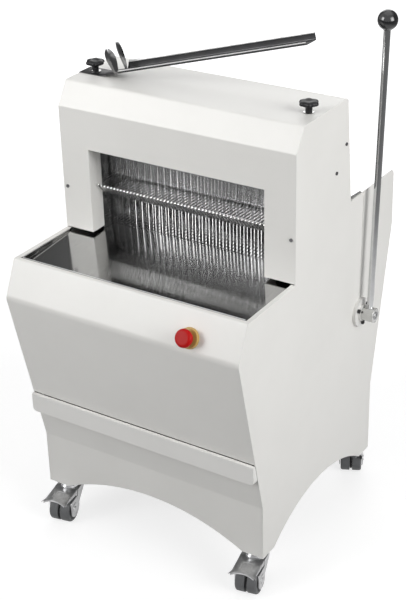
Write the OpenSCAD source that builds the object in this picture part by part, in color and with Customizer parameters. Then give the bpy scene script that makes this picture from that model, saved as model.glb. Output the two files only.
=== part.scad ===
// Bread slicer on castors: a lever pushes a loaf through two blade frames that saw up and down.
// X is across the machine, Y runs from the front table to the loading tray, Z is up from the floor.
// Places along Y are measured back from the front rim, and frame_shift centres the part at the end.

/* [Body] */
// Width over the two side panels
body_w = 600; // [580:5:660]
// Thickness of the painted sheet
sheet = 2.5; // [1.5:0.5:3]
// Height of the front rim above the floor
rim_h = 717; // [707:1:747]
// Width of the flange that edges the rims
rim_flange = 10; // [6:1:14]
// How far the front crease stands out before the rim
crease_out = 38; // [30:1:50]
// How far the front crease lies below the rim
crease_drop = 82; // [76:1:100]
// Bend radius of the front crease
crease_r = 25; // [5:1:40]
// How far the front foot stands behind the rim
foot_back = 56; // [50:1:70]
// Height of the front knee, as a share of the body from the foot to the rim
knee_share = 0.2192; // [0.19:0.0002:0.27]
// Length from the rim to the rear crease
body_l = 660; // [655:1:700]
// How far the rear crease lies below the rim
rear_crease_drop = 40; // [20:1:60]
// How far the rear foot stands inside the rear crease
rear_in = 84; // [60:1:90]
// Height of the rear knee, as a share of the body from the foot to the rim
rear_knee_share = 0.2992; // [0.25:0.0002:0.37]
// Rise of the wings beside the loading tray above the rim
wing_rise = 97; // [70:1:130]
// Corner radius at the rear of the wings
wing_r = 14; // [4:1:40]
// Width of each foot beside the arch under the front
front_foot = 55; // [40:1:80]
// Rise of the arch under the front
front_arch_rise = 60; // [30:1:68]
// Width of each foot beside the arch under a side
side_foot = 50; // [40:1:80]
// Rise of the arch under each side
side_arch_rise = 68; // [30:1:70]
// Distance of the wing seam before the rear crease
wing_seam_in = 157; // [100:1:170]
// Width of the wing seam
wing_seam_w = 2; // [1:0.5:4]
// Depth of the wing seam
wing_seam_d = 1; // [0.5:0.1:1.2]

/* [Tower] */
// Front face of the tower behind the rim
tower_y = 193; // [185:1:200]
// Rise of the tower above the rim
tower_rise = 344; // [330:1:390]
// How far the bevel runs back from the front face
bevel_run = 32; // [15:1:50]
// How far the bevel drops below the top
bevel_drop = 51; // [30:1:56]
// Length of the tower measured to the rear top edge
tower_l = 223; // [215:1:226]
// How far the rear face leans out down to the wings
tower_lean = 25; // [20:1:30]
// Bend radius of the tower sheet
tower_r = 8; // [3:1:15]
// Width of the tower on each side of the slicing mouth
mouth_side = 75; // [74:0.5:80]
// Height of the slicing mouth
mouth_h = 200; // [180:1:204]
// Depth of the painted returns beside the mouth
return_l = 43; // [30:1:50]
// Depth of the painted return above the mouth
lintel_l = 12; // [6:1:14]
// Gap under the legs of the tower
leg_gap = 5; // [3:0.5:8]

/* [Tables] */
// Thickness of the stainless sheet
steel_t = 1.5; // [1:0.1:2]
// How far the bed lies below the rim
bed_drop = 3; // [2.6:0.1:6]
// How far the front table falls towards the rim
table_fall = 11; // [4:1:20]
// Gap between the rim flange and the hem of the front table
hem_gap = 3; // [1:0.5:6]
// Width of the folded hem of the front table
hem_w = 4; // [2:0.5:8]
// Width of each slot in the bed
slot_w = 3; // [2:0.5:4]
// How far the tray cheeks rise above the wings by the tower
cheek_rise = 10; // [4:1:20]

/* [Blades] */
// Distance between neighbouring blades
slice = 9; // [8:0.5:10]
// Thickness of a blade
blade_t = 0.8; // [0.5:0.1:1.2]
// Depth of a blade along the feed
blade_d = 12; // [8:1:13]
// Distance from the tower face to the front blades
blade_back = 87.5; // [86:0.5:94]
// Distance between the two blade frames
frame_step = 29; // [27:0.5:31]
// Depth of the frame bars along the feed
bar_d = 12; // [10:1:14]
// Height of the frame bars
bar_h = 20; // [14:1:24]
// Reach of a blade frame below the bed
frame_below = 47; // [42:1:60]
// Reach of a blade frame above the mouth
frame_above = 43; // [36:1:48]
// Diameter of the upright guide rods
guide_d = 12; // [8:1:14]
// Distance of the guide rods inside the side panels
guide_in = 28; // [24:1:32]
// Half of the sawing stroke
throw = 10; // [6:1:12]

/* [Drive] */
// Distance of the crankshaft below the bed
crank_drop = 247; // [227:1:257]
// Diameter of the crankshaft
crank_d = 20; // [16:1:24]
// Diameter of the eccentrics
eccentric_d = 48; // [46:1:52]
// Width of each eccentric
eccentric_w = 9; // [6:1:9]
// Wall of the yokes round the eccentrics
yoke_wall = 9; // [6:1:12]
// Diameter of the drive pulley
pulley_d = 120; // [100:2:124]
// Diameter of the motor pulley
pinion_d = 70; // [50:2:90]
// Width of the pulleys
pulley_w = 18; // [14:1:20]
// Width of the belt
belt_w = 10; // [6:1:12]
// Thickness of the belt
belt_t = 6; // [4:0.5:8]
// Distance of the motor behind the rim
motor_y = 120; // [110:1:126]
// Distance of the motor axis below the bed
motor_drop = 217; // [197:1:221]
// Diameter of the motor
motor_d = 130; // [110:2:136]
// Length of the motor
motor_l = 235; // [180:5:260]
// Diameter of the motor shaft
rotor_d = 16; // [12:1:20]

/* [Lever] */
// Distance of the resting pins before the rear crease
pin_in = 70; // [67:1:73]
// How far the resting pins lie below the carriage rods
pin_drop = 8.115; // [4:0.005:14]
// Diameter of the lever shaft
shaft_d = 25; // [20:1:28]
// Diameter of the bearing flanges
flange_d = 70; // [64:1:76]
// Thickness of the bearing flanges
flange_t = 8; // [6:1:12]
// Pitch circle of the flange bolts
bolt_circle = 51; // [50:1:54]
// Diameter of the flange bolts
bolt_d = 6; // [4:1:6]
// Diameter of the boss that holds the lever
boss_d = 35; // [32:1:42]
// Length of the boss
boss_l = 30; // [24:1:40]
// Diameter of the lever rod
rod_d = 15; // [12:1:18]
// Length of the lever from the shaft to the ball
lever_l = 688; // [600:1:700]
// How far the resting lever leans back, in degrees
lever_lean = 2.85; // [0:0.05:6]
// Diameter of the ball
ball_d = 44; // [38:1:55]
// Swing of the lever, in degrees
lever_swing = 60; // [50:1:60]
// Distance of the arms inside the side panels
arm_in = 150; // [146:1:154]
// Thickness of the arms
arm_t = 8; // [5:1:10]
// Diameter of the pins on the arms
pin_d = 16; // [12:1:18]

/* [Pusher] */
// Distance of the resting comb before the rear crease
comb_in = 128.5; // [122:0.5:137]
// How far the finger tips pass the front blades
push_past = 5; // [4:1:20]
// Length of the pusher fingers
finger_l = 82; // [76:1:90]
// Height of the pusher fingers
finger_h = 76; // [50:1:120]
// Thickness of the pusher fingers
finger_t = 3; // [2:0.5:4]
// Thickness of the plate that carries the fingers
comb_plate = 4; // [3:0.5:6]
// Diameter of the carriage rods
rail_d = 14; // [10:1:16]
// Distance of the carriage rods inside the side panels
rail_in = 110; // [104:1:112]
// How far the carriage rods lie below the bed
rail_drop = 37; // [34:1:40]

/* [Hold-down comb] */
// Distance of the comb pivot behind the rear blades
comb_back = 27; // [24:1:30]
// Height of the comb pivot above the mouth
comb_rise = 13; // [12:1:16]
// Diameter of the comb tube
tube_d = 18; // [14:1:18]
// Diameter of the pivot pins
pivot_d = 8; // [5:1:10]
// How far the finger tips stand before the front blades
comb_reach = 65.5; // [60:0.5:68]
// How far the finger tips rise above the shanks
tip_rise = 29; // [20:1:36]
// Length of the upturned tips along the feed
tip_run = 27; // [20:1:32]
// Bend radius of the fingers
finger_bend = 14; // [10:1:18]
// Gap between the pusher and the comb fingers above it
comb_gap = 4.5; // [3:0.5:8]
// Width of the comb fingers
tooth_w = 5; // [4:0.5:7]
// Thickness of the comb fingers
tooth_t = 3.6; // [2:0.2:5]

/* [Crumb drawer] */
// Height of the top of the drawer front, as a share from the base rails to the motor plate
drawer_share = 0.7617; // [0.72:0.0001:0.82]
// Height of the drawer front
drawer_front_h = 47; // [44:1:56]
// Thickness of the drawer front
drawer_front_t = 4; // [3:0.5:6]
// How far the drawer front stands before the panel at its top
drawer_proud = 9; // [6:1:14]
// Corner radius of the drawer front
drawer_r = 10; // [3:1:18]
// Gap between the drawer tray and the control box
tray_gap = 37; // [20:1:140]
// Distance of the tray walls inside the side panels
tray_in = 38; // [36:1:70]
// Height of the tray walls
tray_h = 38; // [25:1:39]

/* [Stop button] */
// Distance of the stop button from the side of the body
stop_in = 124; // [80:1:200]
// Distance of the stop button from the rim along the panel
stop_drop = 60; // [40:1:62]
// Diameter of the mushroom cap
cap_d = 40; // [32:1:44]
// Diameter of the collar
collar_d = 46; // [40:1:54]
// Thickness of the collar
collar_t = 7; // [4:0.5:9]
// Diameter of the plunger
plunger_d = 16; // [12:1:18]
// Travel of the plunger
stop_travel = 4; // [2:0.5:5]

/* [Bag scoop] */
// Distance of the knobs inside the side panels
knob_in = 30; // [26:1:34]
// Distance of the knobs behind the tower face
knob_back = 104; // [80:1:120]
// Diameter of the star knobs
knob_d = 44; // [34:1:46]
// Height of the star knobs
knob_h = 26; // [20:1:32]
// Diameter of the knob studs
stud_d = 8; // [6:1:10]
// Width of the scoop
scoop_w = 44; // [40:1:54]
// Length of the flat foot of the scoop
scoop_foot = 60; // [50:1:80]
// How much shorter the trough is than the body is wide
scoop_short = 65; // [50:5:200]
// Rise of the trough, in degrees
scoop_tilt = 16; // [8:0.5:25]
// Height of the rear wall of the trough
scoop_wall = 18; // [8:1:30]
// Height of the front lip of the trough
scoop_lip = 6; // [3:1:12]
// Height of the ears at the low end
ear_h = 66; // [40:1:80]
// Width of the ears
ear_w = 22; // [14:1:34]

/* [Castors] */
// Height of the castors
castor_h = 92; // [89:1:100]
// Distance of the castors inside the side panels
castor_in = 37; // [35:1:42]
// Distance of the front castor stems behind the front foot
front_castor_in = 28; // [22:1:34]
// Distance of the rear castor stems before the rear foot
rear_castor_in = 17; // [16:1:30]
// Diameter of the castor wheels
wheel_d = 65; // [58:1:66]
// Width of each wheel
wheel_w = 23; // [16:1:25]
// Gap between the two wheels of a castor
wheel_gap = 6; // [3:0.5:8]
// Distance of the axle behind the stem
castor_trail = 37; // [34:1:40]
// Diameter of the axle
axle_d = 8; // [6:1:10]
// Diameter of the swivel race
race_d = 44; // [36:1:46]
// Height of the swivel race
race_h = 15; // [12:1:17]
// Diameter of the castor stem
stem_d = 12; // [8:1:14]
// Length of the castor stem
stem_l = 30; // [20:1:40]
// Thickness of the fork plates
fork_t = 2.5; // [2:0.5:3]
// Resting turn of the front castors, in degrees
front_castor_turn = -79; // [-180:1:180]
// Resting turn of the right rear castor, in degrees
right_castor_turn = 116; // [-180:1:180]
// Resting turn of the left rear castor, in degrees
left_castor_turn = 64; // [-180:1:180]
// Length of the brake pedals
pedal_l = 64; // [50:1:68]
// How far the brake pedals are arched
pedal_arch = 9; // [5:1:10]
// Rise of the brake pedals towards the lip, in degrees
pedal_tilt = 7; // [5:0.5:9]
// Thickness of the brake pedals
pedal_t = 3; // [2:0.5:4]
// Diameter of the pedal pins
pedal_pin = 6; // [4:0.5:7]

/* [Fits] */
// Gap between a shaft and its bore
running = 0.05; // [0.03:0.01:0.1]
// Gap between faces that slide past each other
slide_gap = 0.3; // [0.2:0.05:0.6]
// Gap round a screw or a rod that is clamped
screw_gap = 0.2; // [0.1:0.05:0.4]
// Gap that keeps fixed sheets apart
seam = 1.5; // [0.5:0.1:2]

/* [Hidden] */
$fn = 48;
white = "#ecebe6";
stainless = "#b9bcc0";
chrome = "#d8dade";
black = "#1b1b1d";
grey = "#8d8f92";

// Body outline
half_w = body_w / 2;
inner_w = half_w - sheet;
bulkhead_t = 5;
bulkhead_x = inner_w - bulkhead_t;
foot_h = castor_h;
knee_h = foot_h + knee_share * (rim_h - foot_h);
rear_knee_h = foot_h + rear_knee_share * (rim_h - foot_h);
crease = [-crease_out, rim_h - crease_drop];
knee = [foot_back, knee_h];
rear_foot_y = body_l - rear_in;
rear_knee = [rear_foot_y, rear_knee_h];
rear_crease = [body_l, rim_h - rear_crease_drop];
rear_rim_y = body_l - 2;
front_arch_w = body_w - 2 * front_foot;
side_arch_w = rear_foot_y - foot_back - 2 * side_foot;
wing_h = rim_h + wing_rise;
wing_seam_y = body_l - wing_seam_in;
tower_h = rim_h + tower_rise;
bevel_h = tower_h - bevel_drop;
tower_top_y = tower_y + tower_l;
tower_foot_y = tower_top_y + tower_lean;
bed_z = rim_h - bed_drop;
mouth_w = body_w - 2 * mouth_side;
leg_z = bed_z + leg_gap;
mouth_top = leg_z + mouth_h;
return_y = tower_y + return_l;

// Blade frames and bed
front_blade_y = tower_y + blade_back;
rear_blade_y = front_blade_y + frame_step;
crank_y = (front_blade_y + rear_blade_y) / 2;
beam_d = 16;
lug_wall = (guide_d + 6) / 2;
bed_front_y = front_blade_y - lug_wall - 3;
bed_rear_y = rear_blade_y + lug_wall + 26.5;
bed_half = mouth_w / 2 - 0.2;
front_blades_n = floor(mouth_w / (2 * slice));
rear_blades_n = front_blades_n - 1;
gaps_n = front_blades_n + rear_blades_n + 1;
frame_low = bed_z - frame_below;
frame_high = mouth_top + frame_above;
guide_x = half_w - guide_in;
front_yoke_x = guide_x - 36;
rear_yoke_x = front_yoke_x + eccentric_w + 3;
upright_x = rear_yoke_x - 3;
lug_end = guide_x + lug_wall + 3;
guide_foot = frame_low - throw - 25;
guide_head = frame_high + throw + 10;
guide_plate_t = 15;
bridge_t = 12;
yoke_room = throw + 1;

// Tables
table_slope = table_fall / bed_front_y;
function table_top(y) = bed_z - (bed_front_y - y) * table_slope;
hem_y = rim_flange + hem_gap;
table_half = half_w - rim_flange - 0.5;
table_seat = steel_t + 0.1;
frame_slot_l = frame_step + blade_d + 8;

// Drive
crank_h = bed_z - crank_drop;
motor_h = bed_z - motor_drop;
motor_plate_z = motor_h - motor_d / 2 - 13;
motor_plate_t = 8;

// Pusher and lever
comb_y = body_l - comb_in;
tip_y = comb_y - finger_l;
rail_x = half_w - rail_in;
rail_z = bed_z - rail_drop;
stroke = tip_y - front_blade_y + blade_d / 2 + push_past;
arm_rest = lever_swing / 2;
arm_r = stroke / (2 * sin(arm_rest));
arm_x = half_w - arm_in;
arm_tip = [body_l - pin_in, rail_z - pin_drop];
lever_y = arm_tip.x - arm_r * sin(arm_rest);
lever_h = arm_tip.y - arm_r * cos(arm_rest);
slot_slack = 2.6;
carriage_y = comb_y + comb_plate;
carriage_bar = 20;
leg_x = arm_x - 30;
leg_t = 8;
rear_beam_y = rear_rim_y - rim_flange - 26;
lever_x = half_w + flange_t + 4 + slide_gap + boss_l / 2;
boss_end = lever_x + boss_l / 2;
bolt_head = 5;

// Base rails, control box and drawer
rail_h = foot_h + 75;
rail_t = 30;
rail_top = rail_h + rail_t;
control_y = rear_foot_y - 110;
control_lid = 8;
drawer_top = rail_top + drawer_share * (motor_plate_z - motor_plate_t - rail_top);
function front_y(z) = crease.x + (crease.y - z) * (knee.x - crease.x) / (crease.y - knee.y);
function rear_y(z) =
    rear_knee.x + (z - rear_knee.y) * (rear_crease.x - rear_knee.x) / (rear_crease.y - rear_knee.y);
drawer_low = drawer_top - drawer_front_h;
drawer_face = front_y(drawer_top) - drawer_proud;
apron_top = drawer_low + 1;
runner_t = 5;
runner_z = drawer_low + 5;
tray_x = half_w - tray_in;
tray_y = drawer_face + drawer_front_t;
tray_l = control_y - control_lid - tray_gap - tray_y;

// Stop button
stop_tilt = atan2(crease_drop, crease_out);
stop_at = [half_w - stop_in, -stop_drop * cos(stop_tilt), rim_h - stop_drop * sin(stop_tilt)];
cap_z = collar_t + stop_travel + 2;
cap_h = 18;
cap_r = 7;

// Hold-down comb
comb_pivot = [rear_blade_y + comb_back, mouth_top + comb_rise];
pivot_lug = pivot_d / 2 + 10;

// Scoop and knobs
knob_x = half_w - knob_in;
knob_y = tower_y + knob_back;
scoop_l = body_w - scoop_short;
scoop_z = tower_h + slide_gap;
knob_boss = 10;

// Castors
castor_x = half_w - castor_in;
front_castor_y = foot_back + front_castor_in;
rear_castor_y = rear_foot_y - rear_castor_in;
axle_z = wheel_d / 2;
wheel_x = wheel_gap / 2;
cheek_x = wheel_x + wheel_w + 1;
fork_w = cheek_x + fork_t;
fork_top = castor_h - race_h;
fork_front = race_d / 2 - 2;
fork_back = race_d / 2 - 7;
pedal_w = 2 * fork_w - 2;
pedal_from = race_d / 2 + 2;
pedal_pivot = [pedal_from - 10, fork_top - 11];
post_l = 56;

// The part stands on the floor with its box centred
front_reach = -stop_at.y + (cap_z + cap_h - cap_r) * sin(stop_tilt)
    + (cap_d / 2 - cap_r) * cos(stop_tilt) + cap_r;
right_reach = max(boss_end, lever_x + ball_d / 2);
frame_shift = [(half_w + flange_t + bolt_head - right_reach) / 2, (front_reach - body_l) / 2, 0];

CASTORS = ["front_right", "front_left", "rear_right", "rear_left"];

// Helpers for outlines and placing
function unit(v) = v / norm(v);
function arch_radius(w, rise) = w * w / (8 * rise) + rise / 2;
function turn_between(a, b) = (b - a + 540) % 360 - 180;
function corner_arc(a, b, c, r) =
    let (u = unit(a - b), w = unit(c - b), open = acos(u * w))
    let (centre = b + unit(u + w) * r / sin(open / 2), p = b + u * r / tan(open / 2) - centre)
    let (q = b + w * r / tan(open / 2) - centre, start = atan2(p.y, p.x))
    let (sweep = turn_between(start, atan2(q.y, q.x)), steps = 6)
    [for (i = [0:steps]) centre + r * [cos(start + sweep * i / steps), sin(start + sweep * i / steps)]];
function round_path(points, radii) = [
    for (i = [0:len(points) - 1])
        each radii[i] == 0 ? [points[i]] :
            corner_arc(points[i - 1], points[i], points[(i + 1) % len(points)], radii[i])];
function left_of(a, b) = let (d = unit(b - a)) [-d.y, d.x];
function side_step(points, i) =
    i == 0 ? left_of(points[0], points[1]) :
    i == len(points) - 1 ? left_of(points[i - 1], points[i]) :
    let (m = left_of(points[i - 1], points[i]), n = left_of(points[i], points[i + 1])) (m + n) / (1 + m * n);
function beside(points, t) = [for (i = [0:len(points) - 1]) points[i] + t * side_step(points, i)];
function backwards(points) = [for (i = [len(points) - 1:-1:0]) points[i]];
module strip(points, t) { polygon(concat(points, backwards(beside(points, t)))); }

module along_x(from, to) { translate([from, 0, 0]) rotate([90, 0, 90]) linear_extrude(to - from) children(); }
module along_y(from, to) { translate([0, to, 0]) rotate([90, 0, 0]) linear_extrude(to - from) children(); }
module block(low, high) { translate(low) cube(high - low); }
module rod_x(from, to, at, d) {
    translate([from, at.x, at.y]) rotate([0, 90, 0]) cylinder(d = d, h = to - from);
}
module rod_y(from, to, at, d) {
    translate([at.x, from, at.y]) rotate([-90, 0, 0]) cylinder(d = d, h = to - from);
}
module rod_z(from, to, at, d) { translate([at.x, at.y, from]) cylinder(d = d, h = to - from); }
module both_sides() { children(); mirror([1, 0, 0]) children(); }
module place() { translate(frame_shift) children(); }
module on_front() { translate(stop_at) rotate([stop_tilt, 0, 0]) children(); }

// The outline of a side panel, from the rim round the foot and the wing to the tower
function side_outline() = round_path(
    [[0, rim_h], crease, knee, [foot_back, foot_h], [rear_foot_y, foot_h], rear_knee, rear_crease,
     [rear_rim_y, wing_h], [tower_foot_y, wing_h], [tower_top_y, tower_h], [tower_y + bevel_run, tower_h],
     [tower_y, bevel_h], [tower_y, rim_h]],
    [0, crease_r, 0, 0, 0, 0, 0, wing_r, 0, tower_r, tower_r, tower_r, 0]);

module arch_2d(w, rise) {
    translate([0, foot_h + rise - arch_radius(w, rise)]) circle(arch_radius(w, rise), $fn = 96);
}

function screw_places() = [[tower_top_y - 5, wing_h + 145], [tower_y + 175, wing_h + 93]];

function bolt_turns() = [30, 150, 270];

// Side panels with the tower's sides, the arch, the bearing holes and the wing seam
module side_panel() {
    color(white) {
        difference() {
            along_x(inner_w, half_w) difference() {
                polygon(side_outline());
                translate([(foot_back + rear_foot_y) / 2, 0]) arch_2d(side_arch_w, side_arch_rise);
                translate([lever_y, lever_h]) circle(d = shaft_d + 16);
                for (a = bolt_turns())
                    translate([lever_y, lever_h] + bolt_circle / 2 * [cos(a), sin(a)])
                        circle(d = bolt_d + 2 * screw_gap);
                for (p = screw_places()) translate(p) circle(d = 4 + 2 * screw_gap);
            }
            block([half_w - wing_seam_d, wing_seam_y - wing_seam_w / 2, lever_h + flange_d / 2],
                [half_w + 1, wing_seam_y + wing_seam_w / 2, wing_h + 1]);
        }
        block([half_w - rim_flange, rim_flange + seam, rim_h - sheet], [inner_w + 1, tower_y, rim_h]);
    }
}
module side_panel_right() { side_panel(); }
module side_panel_left() { mirror([1, 0, 0]) side_panel(); }

// Front panel from the rim to the drawer, with the hole for the stop button
module front_panel() {
    color(white) difference() {
        along_x(-inner_w, inner_w) strip(round_path(
            [[rim_flange, rim_h], [0, rim_h], crease, [front_y(drawer_top + seam), drawer_top + seam]],
            [0, 4, crease_r, 0]), sheet);
        on_front() cylinder(d = 22 + 2 * screw_gap, h = 4 * sheet, center = true);
    }
}

// Front apron below the drawer, bent at the knee and arched at the foot
module front_apron() {
    color(white) difference() {
        along_x(-inner_w, inner_w) strip(round_path(
            [[front_y(apron_top), apron_top], knee, [foot_back, foot_h]], [0, crease_r, 0]), sheet);
        along_y(foot_back - 1, foot_back + 2 * sheet) arch_2d(front_arch_w, front_arch_rise);
    }
}

// Rear panel below the loading tray, with the hole for the cable gland
gland_at = [half_w / 2, foot_h + 134];
gland_d = 20;
module rear_panel() {
    color(white) difference() {
        along_x(-inner_w, inner_w) strip(round_path(
            [[rear_rim_y - rim_flange, rim_h], [rear_rim_y, rim_h], rear_crease, rear_knee,
             [rear_foot_y, foot_h]],
            [0, 4, 0, crease_r, 0]), -sheet);
        along_y(rear_foot_y - 2 * sheet, rear_foot_y + 1) arch_2d(front_arch_w, front_arch_rise);
        rod_y(rear_foot_y - 2 * sheet, rear_foot_y + 1, gland_at, gland_d + 2 * screw_gap);
    }
}

// Tower cover: one bent sheet with the mouth cut through, the returns and the bosses of the knobs
module tower_cover() {
    color(white) difference() {
        union() {
            difference() {
                along_x(-inner_w, inner_w) strip(round_path(
                    [[tower_y, leg_z], [tower_y, bevel_h], [tower_y + bevel_run, tower_h],
                     [tower_top_y, tower_h],
                     [tower_foot_y, wing_h], [tower_foot_y, leg_z]],
                    [0, tower_r, tower_r, tower_r, 0, 0]), -sheet);
                block([-mouth_w / 2, tower_y - 1, leg_z - 1], [mouth_w / 2, tower_foot_y + 1, mouth_top]);
            }
            both_sides() block([mouth_w / 2, tower_y + sheet / 2, leg_z],
                [mouth_w / 2 + sheet, return_y, mouth_top]);
            block([-mouth_w / 2 - sheet, tower_y + sheet / 2, mouth_top],
                [mouth_w / 2 + sheet, tower_y + lintel_l, mouth_top + sheet]);
            both_sides()
                rod_z(tower_h - sheet - knob_boss, tower_h - sheet / 2, [knob_x, knob_y], stud_d + 8);
        }
        both_sides() rod_z(tower_h - 2 * knob_boss, tower_h + 1, [knob_x, knob_y], stud_d + 2 * running);
        both_sides() rod_y(tower_y - 1, tower_y + 2 * sheet, leg_screw, 4 + 2 * screw_gap);
    }
}
leg_screw = [half_w - 11, rim_h + 103];

// Stainless walls of the passage behind the mouth, which also carry the comb pivot
liner_x = mouth_w / 2 + 0.5;
liner_top = frame_high - bar_h - throw - 4;
module mouth_liners() {
    color(stainless) both_sides() along_x(liner_x, liner_x + steel_t) difference() {
        polygon([[return_y + 1, bed_z - steel_t], [tower_foot_y - 4, bed_z - steel_t],
            [tower_foot_y - 4, wing_h], [tower_top_y - 4, liner_top],
            [comb_pivot.x + pivot_lug, liner_top], [comb_pivot.x + pivot_lug, mouth_top + 2 * comb_rise],
            [rear_blade_y + bar_d / 2 + 5, mouth_top + 2 * comb_rise],
            [rear_blade_y + bar_d / 2 + 5, liner_top], [return_y + 1, liner_top]]);
        translate(comb_pivot) circle(d = pivot_d + 2 * running);
    }
}

// Stainless cheeks inside the wings
module tray_cheeks() {
    color(stainless) both_sides() along_x(inner_w - steel_t, inner_w) polygon([
        [tower_foot_y + 3, bed_z + 0.5], [rear_rim_y - rim_flange - 4, bed_z + 0.5],
        [rear_rim_y - rim_flange - 4, wing_h - 8], [wing_seam_y, wing_h - 3],
        [wing_seam_y - 12, wing_h + 0.6 * cheek_rise], [tower_foot_y + 3, wing_h + cheek_rise]]);
}

// Front table: a stainless tray that falls to the front, with a folded hem and low side walls
module front_table() {
    color(stainless) {
        difference() {
            along_x(-table_half, table_half) strip(
                [[hem_y + hem_w, rim_h - 2], [hem_y, rim_h - 2], [hem_y, table_top(hem_y)],
                 [bed_front_y - 1, table_top(bed_front_y - 1)]], -steel_t);
            both_sides() block([bed_half, return_y, bed_z - 20], [half_w, bed_front_y + 1, bed_z + 20]);
        }
        both_sides() along_x(table_half - steel_t, table_half) polygon([
            [hem_y, table_top(hem_y) - steel_t / 2], [tower_y - 2, table_top(tower_y) - steel_t / 2],
            [tower_y - 2, rim_h - sheet - 0.5], [hem_y, rim_h - sheet - 0.5]]);
    }
}

// Bed between the tables, slotted for the blades
module bed_grid() {
    color(stainless) translate([0, 0, bed_z - steel_t]) linear_extrude(steel_t) difference() {
        translate([-bed_half, bed_front_y]) square([2 * bed_half, bed_rear_y - bed_front_y]);
        for (i = [1:gaps_n - 1])
            translate([(i - gaps_n / 2) * slice - slot_w / 2, crank_y - frame_slot_l / 2])
                square([slot_w, frame_slot_l]);
    }
}

// Rear table with two slots for the legs of the pusher
module rear_table() {
    color(stainless) translate([0, 0, bed_z - steel_t]) linear_extrude(steel_t) difference() {
        polygon([[-bed_half, bed_rear_y + 1], [bed_half, bed_rear_y + 1], [bed_half, tower_foot_y + 2],
            [inner_w - 2, tower_foot_y + 2], [inner_w - 2, rear_rim_y - rim_flange - 2],
            [2 - inner_w, rear_rim_y - rim_flange - 2], [2 - inner_w, tower_foot_y + 2],
            [-bed_half, tower_foot_y + 2]]);
        for (x = [-leg_x, leg_x])
            translate([x - leg_t / 2 - 3, carriage_y - stroke - 6])
                square([leg_t + 6, stroke + leg_run + 12]);
    }
}
leg_run = 24;

// Welded base: two bulkheads, corner posts on the castors, cross rails, bed beams and the motor plate
beam_low = bed_z - 32;
module bulkhead_2d() {
    difference() {
        polygon([[foot_back + 10, rail_h], [rear_foot_y - 10, rail_h], [rear_foot_y - 10, rear_knee_h],
            [rear_beam_y + beam_d, bed_z - 60], [rear_beam_y + beam_d, bed_z - steel_t],
            [tower_foot_y + 5, bed_z - steel_t], [tower_foot_y + 5, guide_foot], [return_y + 3, guide_foot],
            [return_y - 4, table_top(return_y - 4) - table_seat],
            [hem_y + 5, table_top(hem_y + 5) - table_seat],
            [hem_y + 5, crease.y - 48], [foot_back + 10, knee_h + 58]]);
        translate([lever_y, lever_h]) circle(d = shaft_d + 16);
        for (a = bolt_turns())
            translate([lever_y, lever_h] + bolt_circle / 2 * [cos(a), sin(a)])
                circle(d = bolt_d + 2 * screw_gap);
    }
}
module base_frame() {
    color(grey) difference() {
        union() {
            both_sides() along_x(bulkhead_x, inner_w) bulkhead_2d();
            both_sides() block([castor_x - 28, foot_back + sheet + 4, foot_h],
                [inner_w, foot_back + sheet + 4 + post_l, rail_top]);
            both_sides() block([castor_x - 28, rear_foot_y - sheet - 4 - post_l, foot_h],
                [inner_w, rear_foot_y - sheet - 4, rail_top]);
            block([-inner_w, foot_back + 10, rail_h], [inner_w, foot_back + 10 + rail_t, rail_top]);
            block([-inner_w, rear_foot_y - 10 - rail_t, rail_h],
                [inner_w, rear_foot_y - 10, rail_top]);
            block([-inner_w, motor_y - 80, motor_plate_z - motor_plate_t],
                [inner_w, motor_y + 85, motor_plate_z]);
            along_x(-inner_w, inner_w) polygon([
                [bed_front_y - beam_d, beam_low], [bed_front_y + 1.5, beam_low],
                [bed_front_y + 1.5, bed_z - steel_t], [bed_front_y - 0.5, bed_z - steel_t],
                [bed_front_y - 0.5, table_top(bed_front_y - 0.5) - table_seat],
                [bed_front_y - beam_d, table_top(bed_front_y - beam_d) - table_seat]]);
            block([-inner_w, bed_rear_y - beam_d / 2, beam_low],
                [inner_w, bed_rear_y + beam_d / 2, bed_z - steel_t]);
            block([-inner_w, rear_beam_y, rail_z - 20], [inner_w, rear_beam_y + beam_d, bed_z - steel_t]);
            both_sides() block([lug_end - 24, crank_y - 26, guide_foot - guide_plate_t],
                [inner_w, crank_y + 26, guide_foot]);
        }
        both_sides() for (y = [front_castor_y, rear_castor_y])
            rod_z(foot_h - 1, foot_h + stem_l + 2, [castor_x, y], stem_d + 2 * running);
        both_sides() for (y = [front_blade_y, rear_blade_y])
            rod_z(guide_foot - guide_plate_t - 1, guide_foot + 1, [guide_x, y], guide_d + 2 * screw_gap);
        both_sides() rod_y(bed_rear_y, rear_beam_y + beam_d / 2, [rail_x, rail_z], rail_d + 2 * screw_gap);
    }
}

// Bridge in the tower that holds the upper ends of the guide rods
module guide_bridge() {
    color(grey) difference() {
        block([-inner_w, crank_y - 26, guide_head], [inner_w, crank_y + 26, guide_head + bridge_t]);
        both_sides() for (y = [front_blade_y, rear_blade_y])
            rod_z(guide_head - 1, guide_head + bridge_t + 1, [guide_x, y], guide_d + 2 * screw_gap);
    }
}

// Upright rods for the blade frames and level rods for the pusher carriage
module slide_rods() {
    color(chrome) both_sides() {
        for (y = [front_blade_y, rear_blade_y])
            rod_z(guide_foot - guide_plate_t, guide_head + bridge_t, [guide_x, y], guide_d);
        rod_y(bed_rear_y + screw_gap, rear_beam_y + beam_d / 2 - screw_gap, [rail_x, rail_z], rail_d);
    }
}

// Bearing flanges of the lever shaft, one on each side panel
module lever_flanges() {
    color("#c9cacc") both_sides() difference() {
        union() {
            rod_x(half_w, half_w + flange_t, [lever_y, lever_h], flange_d);
            rod_x(half_w, half_w + flange_t + 4, [lever_y, lever_h], boss_d + 6);
            rod_x(bulkhead_x, half_w + 1, [lever_y, lever_h], shaft_d + 16 - 2 * screw_gap);
        }
        rod_x(bulkhead_x - 1, half_w + flange_t + 5, [lever_y, lever_h], shaft_d + 2 * running);
        for (a = bolt_turns())
            rod_x(half_w - 1, half_w + flange_t + 1, [lever_y, lever_h] + bolt_circle / 2 * [cos(a), sin(a)],
                bolt_d + 2 * screw_gap);
    }
}

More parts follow.
